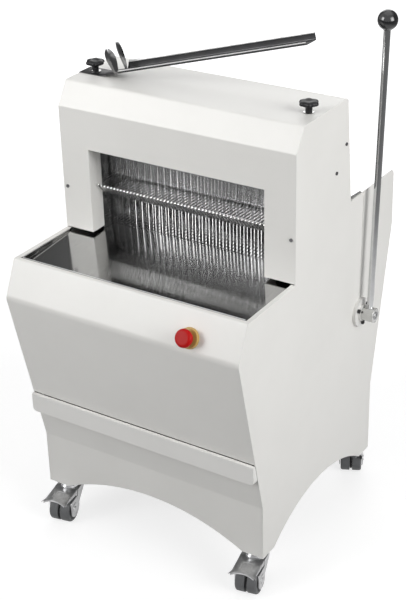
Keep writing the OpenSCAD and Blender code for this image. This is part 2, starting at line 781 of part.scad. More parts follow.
// Socket head bolts of the two flanges
module flange_bolts() {
    color(black) both_sides() for (a = bolt_turns()) {
        at = [lever_y, lever_h] + bolt_circle / 2 * [cos(a), sin(a)];
        difference() {
            union() {
                rod_x(bulkhead_x, half_w + flange_t + 1, at, bolt_d);
                rod_x(half_w + flange_t, half_w + flange_t + bolt_head, at, bolt_d + 4);
            }
            translate([half_w + flange_t + bolt_head - 3, at.x, at.y]) rotate([0, 90, 0])
                cylinder(d = bolt_d, h = 4, $fn = 6);
        }
    }
}

// Small screws of the tower: two in the legs and two in each side
module screw() {
    difference() {
        union() {
            cylinder(d = 4, h = 10);
            translate([0, 0, -2.4]) cylinder(d = 8, h = 2.4);
        }
        block([-3, -0.6, -3], [3, 0.6, -1.4]);
    }
}
module cover_screws() {
    color("#4a4b4d") both_sides() {
        translate([leg_screw.x, tower_y, leg_screw.y]) rotate([-90, 0, 0]) screw();
        for (p = screw_places()) translate([half_w, p.x, p.y]) rotate([0, -90, 0]) screw();
    }
}

// Motor on its feet, with the bore for its shaft
pulley_x = front_yoke_x - 13 - pulley_w;
motor_end = pulley_x - 40;
module motor() {
    color("#5d6268") difference() {
        union() {
            rod_x(motor_end - motor_l, motor_end, [motor_y, motor_h], motor_d);
            rod_x(motor_end - 1, motor_end + 8, [motor_y, motor_h], motor_d / 2);
            for (x = [motor_end - motor_l + 30, motor_end - 60])
                block([x, motor_y - motor_d / 2, motor_plate_z],
                    [x + 30, motor_y + motor_d / 2, motor_h - motor_d / 3]);
        }
        rod_x(motor_end - 30, motor_end + 9, [motor_y, motor_h], rotor_d + 2 * running);
    }
}
module motor_pulley() {
    color("#74777b") {
        rod_x(motor_end - 29, pulley_x + 1, [motor_y, motor_h], rotor_d);
        translate([pulley_x, motor_y, motor_h]) pulley(pinion_d);
    }
}

// A pulley with one groove, turned about X
groove_d = belt_t + 2;
module pulley(d) {
    side = (pulley_w - belt_w - 2) / 2;
    rotate([90, 0, 90]) rotate_extrude() polygon([[0, 0], [d / 2, 0], [d / 2, side], [d / 2 - groove_d, side],
        [d / 2 - groove_d, pulley_w - side], [d / 2, pulley_w - side], [d / 2, pulley_w], [0, pulley_w]]);
}
module drive_pulley() {
    color("#74777b") difference() {
        translate([pulley_x, crank_y, crank_h]) pulley(pulley_d);
        rod_x(pulley_x - 1, pulley_x + pulley_w + 1, [crank_y, crank_h], crank_d + 2 * running);
    }
}

// Belt round the two pulleys
module belt_loop(grow) {
    low = [motor_y, motor_h];
    high = [crank_y, crank_h];
    low_r = pinion_d / 2 - groove_d + grow;
    high_r = pulley_d / 2 - groove_d + grow;
    way = atan2(high.y - low.y, high.x - low.x);
    open = acos((low_r - high_r) / norm(high - low));
    translate(low) circle(low_r);
    translate(high) circle(high_r);
    polygon([for (p = [[low, low_r, open], [high, high_r, open], [high, high_r, -open], [low, low_r, -open]])
        p[0] + p[1] * [cos(way + p[2]), sin(way + p[2])]]);
}
module drive_belt() {
    color(black)
    along_x(pulley_x + (pulley_w - belt_w) / 2, pulley_x + (pulley_w + belt_w) / 2) difference() {
        belt_loop(slide_gap + belt_t);
        belt_loop(slide_gap);
    }
}

// Bearing blocks of the crankshaft on the bulkheads
module pillow_blocks() {
    color("#4f5459") both_sides() difference() {
        block([lug_end - 22, crank_y - crank_d, crank_h - crank_d],
            [bulkhead_x, crank_y + crank_d, crank_h + crank_d]);
        rod_x(lug_end - 23, bulkhead_x + 1, [crank_y, crank_h], crank_d + 2 * running);
    }
}

// Crankshaft with one eccentric for each yoke
module crankshaft() {
    color(chrome) {
        rod_x(-bulkhead_x + 2, bulkhead_x - 2, [crank_y, crank_h], crank_d);
        both_sides() {
            rod_x(front_yoke_x, front_yoke_x + eccentric_w, [crank_y + throw, crank_h], eccentric_d);
            rod_x(rear_yoke_x, rear_yoke_x + eccentric_w, [crank_y - throw, crank_h], eccentric_d);
        }
    }
}

// Blade frame with guide lugs and two yokes that are open enough for the turning eccentrics
module blade_frame(y, yoke_x) {
    color("#a7aaae") difference() {
        union() {
            for (z = [frame_low, frame_high - bar_h]) {
                block([-rear_yoke_x - eccentric_w, y - bar_d / 2, z],
                    [rear_yoke_x + eccentric_w, y + bar_d / 2, z + bar_h]);
                both_sides() block([upright_x, y - lug_wall, z], [lug_end, y + lug_wall, z + bar_h]);
            }
            both_sides() block([upright_x, y - bar_d / 2, frame_low],
                [rear_yoke_x + eccentric_w, y + bar_d / 2, frame_high]);
            both_sides() along_x(yoke_x, yoke_x + eccentric_w) {
                translate([y - bar_d / 2, crank_h + yoke_half_h])
                    square([bar_d, frame_low + 1 - crank_h - yoke_half_h]);
                translate([crank_y, crank_h]) difference() {
                    square([2 * yoke_half_w + 2 * yoke_wall, 2 * yoke_half_h + 2 * yoke_wall], center = true);
                    square([2 * yoke_half_w, 2 * yoke_half_h], center = true);
                }
            }
        }
        both_sides() rod_z(frame_low - 1, frame_high + 1, [guide_x, y], guide_d + 2 * running);
    }
}
yoke_half_w = eccentric_d / 2 + yoke_room;
yoke_half_h = eccentric_d / 2 + throw + yoke_room;
module front_blade_frame() { blade_frame(front_blade_y, front_yoke_x); }
module rear_blade_frame() { blade_frame(rear_blade_y, rear_yoke_x); }

// A row of blades between the bars of a frame
module blades(y, count) {
    color(stainless) for (i = [0:count - 1])
        block([(2 * i - count + 1) * slice - blade_t / 2, y - blade_d / 2, frame_low + bar_h],
            [(2 * i - count + 1) * slice + blade_t / 2, y + blade_d / 2, frame_high - bar_h]);
}
module front_blades() { blades(front_blade_y, front_blades_n); }
module rear_blades() { blades(rear_blade_y, rear_blades_n); }

// Lever shaft through both flanges, with the boss that holds the rod
lever_way = [sin(lever_lean), cos(lever_lean)];
module lever_hole(d, from, to) {
    translate([lever_x, lever_y, lever_h]) rotate([-lever_lean, 0, 0]) translate([0, 0, from])
        cylinder(d = d, h = to - from);
}
module lever_shaft() {
    color(chrome) difference() {
        union() {
            rod_x(-half_w - flange_t, lever_x - boss_l / 2 + 1, [lever_y, lever_h], shaft_d);
            rod_x(lever_x - boss_l / 2, boss_end, [lever_y, lever_h], boss_d);
        }
        lever_hole(rod_d + 2 * running, -boss_d / 4, boss_d);
    }
}
module lever_rod() { color(chrome) lever_hole(rod_d, -boss_d / 4 + running, lever_l + ball_d / 5); }
module lever_ball() {
    color(black) difference() {
        translate([lever_x, lever_y, lever_h] + lever_l * [0, lever_way.x, lever_way.y]) sphere(d = ball_d);
        lever_hole(rod_d + 2 * running, lever_l - ball_d, lever_l + ball_d / 5 + running);
    }
}

// Arms on the lever shaft, with the pins that drive the carriage
arm_hub = shaft_d + 20;
module lever_arms() {
    color("#6f7377") both_sides() difference() {
        union() {
            rod_x(arm_x - 8, arm_x + 8, [lever_y, lever_h], arm_hub);
            translate([arm_x - arm_t / 2, lever_y, lever_h]) rotate([-arm_rest, 0, 0])
                block([0, -pin_d / 2 - 1, 0], [arm_t, pin_d / 2 + 1, arm_r]);
            rod_x(arm_x - arm_t / 2 - 1, arm_x + arm_t / 2 + 1, arm_tip, pin_d + 6);
            rod_x(arm_x, slot_plate_x + slot_plate_t, arm_tip, pin_d);
        }
        rod_x(arm_x - 9, arm_x + 9, [lever_y, lever_h], shaft_d + 2 * running);
    }
}
slot_plate_x = arm_x + arm_t / 2 + 3;
slot_plate_t = 10;

// Carriage of the pusher: bushes on the level rods, slotted plates for the pins, a bar and two legs
bush_d = rail_d + 14;
pin_room = pin_d / 2 + slot_slack;
module pusher_carriage() {
    color("#6f7377") difference() {
        union() {
            block([-rail_x, carriage_y, rail_z - carriage_bar / 2],
                [rail_x, carriage_y + leg_run, rail_z + carriage_bar / 2]);
            both_sides() block([rail_x - bush_d / 2, carriage_y, rail_z - bush_d / 2],
                [rail_x + bush_d / 2, arm_tip.x + pin_room + 12, rail_z + bush_d / 2]);
            both_sides() along_x(slot_plate_x, slot_plate_x + slot_plate_t) difference() {
                translate([carriage_y, arm_tip.y - pin_room - 10])
                    square([arm_tip.x + pin_room + 12 - carriage_y,
                        lever_h + arm_r + pin_room + 4 - arm_tip.y + pin_room + 10]);
                translate([arm_tip.x - pin_room, arm_tip.y - pin_room])
                    square([2 * pin_room, lever_h + arm_r - arm_tip.y + 2 * pin_room]);
            }
            both_sides() block([slot_plate_x, carriage_y, rail_z - bush_d / 2],
                [rail_x, carriage_y + leg_run, rail_z + bush_d / 2]);
            both_sides() block([leg_x - leg_t / 2, carriage_y, rail_z],
                [leg_x + leg_t / 2, carriage_y + leg_run, comb_low + 40]);
        }
        both_sides() rod_y(carriage_y - 1, arm_tip.x + 60, [rail_x, rail_z], rail_d + 2 * running);
    }
}
comb_low = bed_z + 3;

// Pusher comb: a plate with one finger for each gap between the blades
comb_half = gaps_n * slice / 2 - 4;
module pusher_comb() {
    color(stainless) {
        block([-comb_half, comb_y, comb_low], [comb_half, comb_y + comb_plate, comb_low + finger_h]);
        for (i = [0:gaps_n - 1])
            translate([(i - (gaps_n - 1) / 2) * slice - finger_t / 2, 0, 0])
                block([0, tip_y, comb_low + 2], [finger_t, comb_y + 0.5, comb_low + finger_h - 2]);
    }
}

// Hold-down comb: fingers hang from a tube behind the blades, pass between them and turn up in front
module comb_tube() {
    color(stainless) {
        rod_x(-liner_x + slide_gap, liner_x - slide_gap, comb_pivot, tube_d);
        rod_x(-liner_x - steel_t, liner_x + steel_t, comb_pivot, pivot_d);
    }
}
shank_z = comb_low + finger_h + comb_gap + tooth_w / 2;
comb_tip = [front_blade_y - comb_reach, shank_z + tip_rise];
module comb_fingers() {
    path = round_path([comb_tip, [comb_tip.x + tip_run, shank_z], [comb_pivot.x, shank_z],
        comb_pivot - [0, tube_d / 2 - 1]], [0, finger_bend, finger_bend, 0]);
    color(stainless) difference() {
        for (i = [0:gaps_n - 1])
            translate([(i - (gaps_n - 1) / 2) * slice, 0, 0])
                along_x(-tooth_t / 2, tooth_t / 2) strip(beside(path, -tooth_w / 2), tooth_w);
        rod_x(-liner_x, liner_x, comb_pivot, tube_d);
    }
}

// Crumb drawer: an open tray behind a full-width front
module crumb_tray() {
    color(stainless) difference() {
        block([-tray_x, tray_y, runner_z + slide_gap],
            [tray_x, tray_y + tray_l, runner_z + slide_gap + tray_h]);
        block([steel_t - tray_x, tray_y + steel_t, runner_z + slide_gap + steel_t],
            [tray_x - steel_t, tray_y + tray_l - steel_t, drawer_top]);
    }
}
module drawer_front() {
    lip = front_y(drawer_top) - drawer_face - 1;
    color("#f4f3ef") {
        along_y(drawer_face, tray_y) polygon(round_path(
            [[-half_w, drawer_top], [-half_w, drawer_low], [half_w, drawer_low], [half_w, drawer_top]],
            [0, drawer_r, drawer_r, 0]));
        block([-half_w, drawer_face, drawer_top - sheet], [half_w, drawer_face + lip, drawer_top]);
    }
}

// Runners of the drawer on the bulkheads
module drawer_runners() {
    color(grey) both_sides() {
        block([tray_x - 20, foot_back + 14, runner_z - runner_t], [bulkhead_x, tray_y + tray_l, runner_z]);
        block([tray_x + slide_gap, foot_back + 14, runner_z - 1],
            [tray_x + slide_gap + 4, tray_y + tray_l, runner_z + 16]);
    }
}

// Stop button: collar, contact block, plunger and mushroom cap, built along the panel's normal
shank_d = 22;
module stop_collar() {
    color("#e3b62e") on_front() difference() {
        union() {
            rotate_extrude() polygon(round_path(
                [[0, 0], [collar_d / 2, 0], [collar_d / 2 - 1, collar_t], [0, collar_t]],
                [0, 0, 2, 0]));
            translate([0, 0, -22]) cylinder(d = shank_d, h = 23);
            translate([0, 0, -sheet - 6]) cylinder(d = shank_d + 8, h = 6);
        }
        translate([0, 0, -23]) cylinder(d = plunger_d + 2 * running, h = 40);
    }
}
module stop_contacts() {
    color("#2b2d31") on_front() difference() {
        block([-16, -22, -62], [16, 22, -22]);
        translate([0, 0, -30]) cylinder(d = plunger_d + 1, h = 10);
    }
}
plunger_top = cap_z + cap_h / 2;
module stop_plunger() {
    color("#d8d8d4") on_front() translate([0, 0, -20]) cylinder(d = plunger_d, h = plunger_top + 20);
}
module stop_cap() {
    color("#c8202a") on_front() difference() {
        translate([0, 0, cap_z]) rotate_extrude() polygon(round_path(
            [[0, 0], [cap_d / 2 - 4, 0], [cap_d / 2, cap_h - cap_r - 1], [cap_d / 2, cap_h], [0, cap_h]],
            [0, 2, 3, cap_r, 0]));
        translate([0, 0, cap_z - 1])
            cylinder(d = plunger_d + 2 * running, h = plunger_top - cap_z + 1 + running);
    }
}

// Bag scoop: one bent sheet with a flat foot, a rising trough with two edges, and two ears
trough_x = scoop_foot / 2 - knob_x;
scoop_bend = 60;
wall_x = 34;
wall_inset = 0.1;
ear_x = 50;
ear_inset = 0.25;
module along_trough() {
    translate([trough_x, knob_y, scoop_z + steel_t]) rotate([0, -scoop_tilt, 0]) children();
}
module ear(y) {
    along_trough() translate([ear_x, y + steel_t - ear_inset, 0]) rotate([90, 0, 0])
    linear_extrude(steel_t - 2 * ear_inset) intersection() {
        translate([-ear_h * 0.9, ear_h / 2]) circle(ear_h * 0.9 + ear_w / 2);
        translate([ear_h * 0.75, ear_h / 2 - 8]) circle(ear_h * 0.75 + ear_w / 2);
        translate([-ear_h, -steel_t / 2]) square([2 * ear_h, ear_h]);
    }
}
module bag_scoop() {
    color(chrome) {
        difference() {
            along_y(knob_y - scoop_w / 2, knob_y + scoop_w / 2) strip(round_path(
                [[-knob_x - scoop_foot / 2, scoop_z], [trough_x, scoop_z],
                 [trough_x, scoop_z] + scoop_l * [cos(scoop_tilt), sin(scoop_tilt)]],
                [0, scoop_bend, 0]), steel_t);
            rod_z(scoop_z - 1, scoop_z + steel_t + 1, [-knob_x, knob_y], stud_d + 2 * running);
        }
        along_trough() {
            block([wall_x, scoop_w / 2 - steel_t, -steel_t / 2],
                [scoop_l - 1, scoop_w / 2 - wall_inset, scoop_wall]);
            block([wall_x, wall_inset - scoop_w / 2, -steel_t / 2],
                [scoop_l - 1, steel_t - scoop_w / 2, scoop_lip]);
        }
        ear(-scoop_w / 2);
        ear(scoop_w / 2 - steel_t);
    }
}

// Star knobs with their studs
knob_stem_d = 15;
knob_head = 12;
module star_knob(z) {
    lobes = 6;
    lobe_d = knob_d * 0.3;
    color(black) {
        translate([0, 0, z]) cylinder(d = knob_stem_d, h = knob_h - knob_head + 1);
        translate([0, 0, z + knob_h - knob_head]) {
            cylinder(d = knob_d - lobe_d, h = knob_head);
            for (i = [0:lobes - 1])
                rotate(i * 360 / lobes) translate([(knob_d - lobe_d) / 2, 0, 0])
                    cylinder(d = lobe_d, h = knob_head - 2);
        }
        translate([0, 0, tower_h - knob_boss - sheet - 4])
            cylinder(d = stud_d, h = z - tower_h + knob_boss + sheet + 5);
    }
}
module scoop_knob() { translate([-knob_x, knob_y, 0]) star_knob(scoop_z + steel_t + slide_gap); }
module cover_knob() { translate([knob_x, knob_y, 0]) star_knob(tower_h + slide_gap); }

// Control box on the rear rail and the cable gland in the rear panel
control_x = half_w / 6;
control_w = body_w * 19 / 60;
control_h = 150;
module control_box() {
    color("#7b7f84") {
        block([-control_x - control_w, control_y, rail_top],
            [-control_x, rear_foot_y - 14, rail_top + control_h]);
        block([-control_x - control_w - 4, control_y - control_lid, rail_top],
            [4 - control_x, control_y, rail_top + control_h + 4]);
    }
}
module cable_gland() {
    color(black) difference() {
        union() {
            rod_y(rear_foot_y - sheet - 8, rear_foot_y + 22, gland_at, gland_d);
            rod_y(rear_foot_y, rear_foot_y + 7, gland_at, gland_d + 8);
            rod_y(rear_foot_y - sheet - 6, rear_foot_y - sheet, gland_at, gland_d + 8);
        }
        rod_y(rear_foot_y - 20, rear_foot_y + 30, gland_at, gland_d / 2);
    }
}

// Castors, built with the stem on the origin and the axle trailing along X
function castor_place(name) =
    name == "front_right" ? [castor_x, front_castor_y, front_castor_turn] :
    name == "front_left" ? [-castor_x, front_castor_y, front_castor_turn] :
    name == "rear_right" ? [castor_x, rear_castor_y, right_castor_turn] :
    [-castor_x, rear_castor_y, left_castor_turn];
module at_castor(name) {
    p = castor_place(name);
    translate([p.x, p.y, 0]) rotate(p[2]) children();
}
module castor_fork() {
    hub_r = wheel_d / 2 - 13;
    cheek = round_path([[-fork_back, fork_top], [fork_front - 2, fork_top], [fork_front, fork_top - 16],
        [castor_trail + hub_r, fork_top - 17], [castor_trail + hub_r, axle_z - hub_r],
        [castor_trail - hub_r, axle_z - hub_r], [castor_trail - hub_r, axle_z + 4],
        [-fork_back, fork_top - 8]],
        [0, 0, 0, 4, hub_r - 1, hub_r - 1, 0, 0]);
    color("#9c9ea1") difference() {
        union() {
            rod_z(foot_h - 1, foot_h + stem_l, [0, 0], stem_d);
            rod_z(fork_top - 1, foot_h - slide_gap, [0, 0], race_d);
            block([-fork_back, -fork_w, fork_top - fork_t], [fork_front - 2, fork_w, fork_top]);
            for (y = [-fork_w, cheek_x]) along_y(y, y + fork_t) polygon(cheek);
        }
        rod_y(-fork_w - 1, fork_w + 1, [castor_trail, axle_z], axle_d + 2 * running);
        rod_y(-fork_w - 1, fork_w + 1, pedal_pivot, pedal_pin + 2 * running);
    }
}
module castor_wheels() {
    rim = wheel_d / 2;
    color("#5a5d61") {
        rod_y(-fork_w, fork_w, [castor_trail, axle_z], axle_d);
        for (side = [0, 1])
            mirror([0, side, 0]) translate([castor_trail, wheel_x, axle_z]) rotate([-90, 0, 0])
            rotate_extrude() polygon(round_path(
                [[0, 0], [rim, 0], [rim, wheel_w], [rim - 7, wheel_w], [rim - 9, wheel_w - 3],
                 [0, wheel_w - 3]],
                [0, 1.5, 5, 0, 0, 0]));
    }
}
module castor_pedal() {
    arch_r = arch_radius(pedal_w, pedal_arch);
    span = asin(pedal_w / (2 * arch_r));
    steps = 6;
    arch = [for (i = [-steps:steps]) arch_r * [sin(span * i / steps), cos(span * i / steps) - 1]];
    web_w = pedal_w / 3;
    color("#77797c") {
        translate([pedal_from, 0, fork_top - 1]) rotate([0, -pedal_tilt, 0]) {
            along_x(0, pedal_l) strip(arch, -pedal_t);
            block([1, -web_w / 2, -10], [7, web_w / 2, -pedal_t + 0.6]);
        }
        along_y(1 - web_w / 2, web_w / 2 - 1) polygon([pedal_pivot + [-4, -1], pedal_pivot + [5, -1],
            [pedal_from + 6, fork_top - 8], [pedal_from + 2, fork_top - 5]]);
        rod_y(-fork_w, fork_w, pedal_pivot, pedal_pin);
    }
}

place() base_frame();
place() side_panel_left();
place() side_panel_right();
place() front_panel();
place() front_apron();
place() rear_panel();
place() tower_cover();
place() mouth_liners();
place() tray_cheeks();
place() front_table();
place() bed_grid();
place() rear_table();
place() guide_bridge();
place() slide_rods();
place() lever_flanges();
place() flange_bolts();
place() cover_screws();
place() motor();
place() drive_belt();
place() pillow_blocks();
place() control_box();
place() cable_gland();
place() stop_collar();
place() stop_contacts();
place() drawer_runners();
place() lever_shaft();
place() lever_arms();
place() lever_rod();
place() lever_ball();
place() pusher_carriage();
place() pusher_comb();
place() front_blade_frame();
place() front_blades();
place() rear_blade_frame();
place() rear_blades();
place() crankshaft();
place() drive_pulley();
place() motor_pulley();
place() comb_tube();
place() comb_fingers();
place() crumb_tray();
place() drawer_front();
place() stop_plunger();
place() stop_cap();
place() bag_scoop();
place() scoop_knob();
place() cover_knob();
for (name = CASTORS) {
    place() at_castor(name) castor_fork();
    place() at_castor(name) castor_wheels();
    place() at_castor(name) castor_pedal();
}
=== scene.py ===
import math

import bmesh
import bpy
from mathutils import Matrix, Vector


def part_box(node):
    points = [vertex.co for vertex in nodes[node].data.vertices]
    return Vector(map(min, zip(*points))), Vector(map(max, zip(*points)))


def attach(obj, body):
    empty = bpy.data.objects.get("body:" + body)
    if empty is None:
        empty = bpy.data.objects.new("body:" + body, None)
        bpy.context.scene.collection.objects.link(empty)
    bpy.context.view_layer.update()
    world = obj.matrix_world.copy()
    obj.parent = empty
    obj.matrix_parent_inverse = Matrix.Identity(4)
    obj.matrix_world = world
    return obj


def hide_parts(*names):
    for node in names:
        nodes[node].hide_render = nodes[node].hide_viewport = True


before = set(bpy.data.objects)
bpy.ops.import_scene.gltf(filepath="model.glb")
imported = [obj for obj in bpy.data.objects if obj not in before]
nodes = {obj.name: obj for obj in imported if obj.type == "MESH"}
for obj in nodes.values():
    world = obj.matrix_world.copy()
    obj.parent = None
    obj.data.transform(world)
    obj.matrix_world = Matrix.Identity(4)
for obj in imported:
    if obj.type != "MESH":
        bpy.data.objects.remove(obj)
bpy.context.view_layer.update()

# Viewpoint
# The camera stands to the right of the machine and looks down on it through a long lens.
# Its place was worked out from the edges of the body in the photograph.
camera = bpy.data.objects.new("camera", bpy.data.cameras.new("camera"))
bpy.context.scene.collection.objects.link(camera)
camera.data.sensor_fit = "VERTICAL"
camera.data.sensor_height = 36
camera.data.lens = 82.93
camera.data.clip_end = 60
camera.location = (1.52625, -2.362965, 2.0457)
look_round = Matrix.Rotation(math.radians(33.18), 3, "Z")
look_down = Matrix.Rotation(math.radians(90 - 27.84), 3, "X")
look_level = Matrix.Rotation(math.radians(-1.463), 3, "Z")
camera.rotation_euler = (look_round @ look_down @ look_level).to_euler()
bpy.context.scene.camera = camera
bpy.context.scene.view_settings.view_transform = "Standard"


# Studio
# A pale floor runs out to a white surround, with soft boxes in front, at the right, overhead and behind.
# The eye sees the surround as white. The metals see it white in front and overhead and dimmer far behind,
# as a studio is, and the floor keeps the shadow of the machine.
def put(tree, kind, settings=None, **inputs):
    """Adds a shader node. An input is a plain value or the output socket of another node."""
    made = tree.nodes.new("ShaderNode" + kind)
    for key, value in (settings or {}).items():
        setattr(made, key, value)
    for key, value in inputs.items():
        place = int(key[2:]) if key.startswith("in") and key[2:].isdigit() else key.replace("_", " ")
        if isinstance(value, bpy.types.NodeSocket):
            tree.links.new(value, made.inputs[place])
        else:
            made.inputs[place].default_value = value
    return made


def seen_directly(tree):
    """One where the eye, a reflection or a view through glass meets the surface, zero for plain light."""
    path = put(tree, "LightPath")
    shine = put(tree, "Math", {"operation": "MAXIMUM"}, in0=path.outputs["Is Glossy Ray"],
                in1=path.outputs["Is Transmission Ray"])
    return put(tree, "Math", {"operation": "MAXIMUM"}, in0=path.outputs["Is Camera Ray"],
               in1=shine.outputs[0]).outputs[0]


surround = bpy.data.worlds.new("surround")
bpy.context.scene.world = surround
surround.use_nodes = True
sky = surround.node_tree
sky.nodes.clear()
fill = put(sky, "Background", Color=(0.98, 0.99, 1, 1), Strength=0.3)
heading = put(sky, "SeparateXYZ", in0=put(sky, "TexCoord").outputs["Generated"])
behind = put(sky, "MapRange", Value=heading.outputs[1], From_Min=-0.2, From_Max=0.4)
low_down = put(sky, "MapRange", Value=heading.outputs[2], From_Min=0.85, From_Max=0.55)
both_ways = put(sky, "Math", {"operation": "MULTIPLY"}, in0=behind.outputs[0], in1=low_down.outputs[0])
room = put(sky, "MapRange", Value=both_ways.outputs[0], To_Min=1.0, To_Max=0.12)
to_eye = put(sky, "LightPath").outputs["Is Camera Ray"]
level = put(sky, "Math", {"operation": "MAXIMUM"}, in0=room.outputs[0], in1=to_eye)
white = put(sky, "Background", Color=(1, 1, 1, 1), Strength=level.outputs[0])
either = put(sky, "MixShader", in0=seen_directly(sky), in1=fill.outputs[0], in2=white.outputs[0])
put(sky, "OutputWorld", Surface=either.outputs[0])

bpy.ops.object.select_all(action="DESELECT")
bpy.ops.mesh.primitive_plane_add(size=40)
floor = bpy.context.object
floor.name = "studio_floor"
floor_finish = bpy.data.materials.new("studio_floor")
floor_finish.use_nodes = True
floor_tree = floor_finish.node_tree
floor_tree.nodes.clear()
lit = put(floor_tree, "BsdfDiffuse", Color=(0.34, 0.34, 0.34, 1))
pale = put(floor_tree, "BsdfDiffuse", Color=(0.42, 0.42, 0.42, 1))
spot_on_floor = put(floor_tree, "TexCoord").outputs["Object"]
reach = put(floor_tree, "VectorMath", {"operation": "LENGTH"}, in0=spot_on_floor)
sheet_edge = put(floor_tree, "MapRange", Value=reach.outputs["Value"], From_Min=1.2, From_Max=2.2,
                 To_Min=0.66, To_Max=0.04)
far_white = put(floor_tree, "MapRange", Value=reach.outputs["Value"], From_Min=0.9, From_Max=2.6,
                To_Min=0.72, To_Max=1.0)
seen_glow = put(floor_tree, "Mix", in0=put(floor_tree, "LightPath").outputs["Is Camera Ray"],
                in2=sheet_edge.outputs[0], in3=far_white.outputs[0])
glow = put(floor_tree, "Emission", Color=(1, 1, 1, 1), Strength=seen_glow.outputs[0])
shown = put(floor_tree, "AddShader", in0=pale.outputs[0], in1=glow.outputs[0])
floor_mix = put(floor_tree, "MixShader", in0=seen_directly(floor_tree), in1=lit.outputs[0],
                in2=shown.outputs[0])
put(floor_tree, "OutputMaterial", Surface=floor_mix.outputs[0])
floor.data.materials.append(floor_finish)

for label, place, size, power, aim, beam in (
    ("front_softbox", (-2.4, -3.1, 2.7), 2.4, 17.5, (-0.4, 0, 1.45), 58),
    ("right_softbox", (3.6, -0.5, 2.3), 2.4, 26, (0, 0, 1.3), 75),
    ("top_softbox", (0.2, 0.4, 3.6), 2.6, 10, (0, 0, 0.65), 180),
    ("rear_softbox", (-1.6, 3.4, 2.4), 2.4, 30, (0, 0, 0.65), 180),
):
    lamp = bpy.data.lights.new(label, "AREA")
    lamp.size = size
    lamp.energy = power
    lamp.spread = math.radians(beam)
    stand = bpy.data.objects.new(label, lamp)
    stand.location = place
    stand.rotation_euler = (Vector(aim) - Vector(place)).to_track_quat("-Z", "Y").to_euler()
    bpy.context.scene.collection.objects.link(stand)


# Cabinet panels
# Sheet steel, laser cut and folded on a press brake, then powder coated in a warm white.
# The coat flows into a fine orange peel, and every cut edge is softened by it.
def shader_group(name, own_label, own_kind):
    """A node group with the sockets that every finish has and one of its own, and its two end nodes."""
    made = bpy.data.node_groups.new(name, "ShaderNodeTree")
    for label, kind in (("Colour", "Color"), ("Shade", "Color"), (own_label, own_kind),
                        ("Roughness", "Float"), ("Spread", "Float")):
        made.interface.new_socket(label, in_out="INPUT", socket_type="NodeSocket" + kind)
    for label, kind in (("Colour", "Color"), ("Roughness", "Float"), ("Height", "Float")):
        made.interface.new_socket(label, in_out="OUTPUT", socket_type="NodeSocket" + kind)
    return made, made.nodes.new("NodeGroupInput").outputs, made.nodes.new("NodeGroupOutput").inputs


def end_group(tree, given, wanted, tone, gloss, height):
    """Ends a group: tone mixes its two colours, gloss varies its roughness, and height is passed on."""
    mixed = put(tree, "Mix", {"data_type": "RGBA"}, in0=tone, in6=given["Colour"], in7=given["Shade"])
    centred = put(tree, "Math", {"operation": "SUBTRACT"}, in0=gloss, in1=0.5)
    rough = put(tree, "Math", {"operation": "MULTIPLY_ADD"}, in0=centred.outputs[0], in1=given["Spread"],
                in2=given["Roughness"])
    tree.links.new(mixed.outputs[2], wanted["Colour"])
    tree.links.new(rough.outputs[0], wanted["Roughness"])
    tree.links.new(height, wanted["Height"])
    return tree


def fine_grain_group():
    """Painted and moulded skins: a slow drift of tone, a fine grain and a slightly uneven gloss."""
    tree, given, wanted = shader_group("fine_grain", "Grain", "Float")
    place = put(tree, "TexCoord").outputs["Object"]
    drift = put(tree, "TexNoise", Vector=place, Scale=5.0, Detail=4.0, Roughness=0.6)
    tone = put(tree, "MapRange", Value=drift.outputs[0], From_Min=0.38, From_Max=0.72)
    grain = put(tree, "TexNoise", Vector=place, Scale=given["Grain"], Detail=2.0, Roughness=0.5)
    wipe = put(tree, "TexNoise", Vector=place, Scale=34.0, Detail=5.0, Roughness=0.65)
    return end_group(tree, given, wanted, tone.outputs[0], wipe.outputs[0], grain.outputs[0])


def finish(name, group, values, bump=0.1, depth=0.0002, **shader):
    """A material with its plain shader values set on the shader and its pattern from a node group."""
    made = bpy.data.materials.new(name)
    made.use_nodes = True
    tree = made.node_tree
    surface = tree.nodes["Principled BSDF"]
    for key, value in shader.items():
        surface.inputs[key.replace("_", " ")].default_value = value
    pattern = tree.nodes.new("ShaderNodeGroup")
    pattern.node_tree = group
    for key, value in values.items():
        pattern.inputs[key].default_value = value
    tree.links.new(pattern.outputs["Colour"], surface.inputs["Base Color"])
    tree.links.new(pattern.outputs["Roughness"], surface.inputs["Roughness"])
    relief = put(tree, "Bump", Strength=bump, Distance=depth, Height=pattern.outputs["Height"])
    tree.links.new(relief.outputs[0], surface.inputs["Normal"])
    return made


def dress(name, material, edge, steps=2):
    """Gives a CAD node its material and softens its edges. The mesh itself stays as it was packed."""
    piece = nodes[name]
    for held in piece.material_slots:
        held.material = material
    weld = piece.modifiers.new("weld", "WELD")
    weld.merge_threshold = 0.00001
    plain = piece.modifiers.new("plain", "DECIMATE")
    plain.decimate_type = "DISSOLVE"
    plain.angle_limit = math.radians(0.4)
    soft = piece.modifiers.new("soft_edge", "BEVEL")
    soft.width = edge
    soft.segments = steps
    soft.limit_method = "ANGLE"
    soft.angle_limit = math.radians(35)
    even = piece.modifiers.new("even_shading", "WEIGHTED_NORMAL")
    even.keep_sharp = True


fine_grain = fine_grain_group()
white_coat = finish("white_powder_coat", fine_grain, {
    "Colour": (0.835, 0.825, 0.795, 1), "Shade": (0.805, 0.795, 0.765, 1), "Grain": 420.0,
    "Roughness": 0.36, "Spread": 0.1}, bump=0.12, depth=0.0003, Specular_IOR_Level=0.45)
for panel in ("side_panel_left", "side_panel_right", "front_panel", "front_apron", "rear_panel",
              "tower_cover"):
    dress(panel, white_coat, edge=0.0009, steps=3)


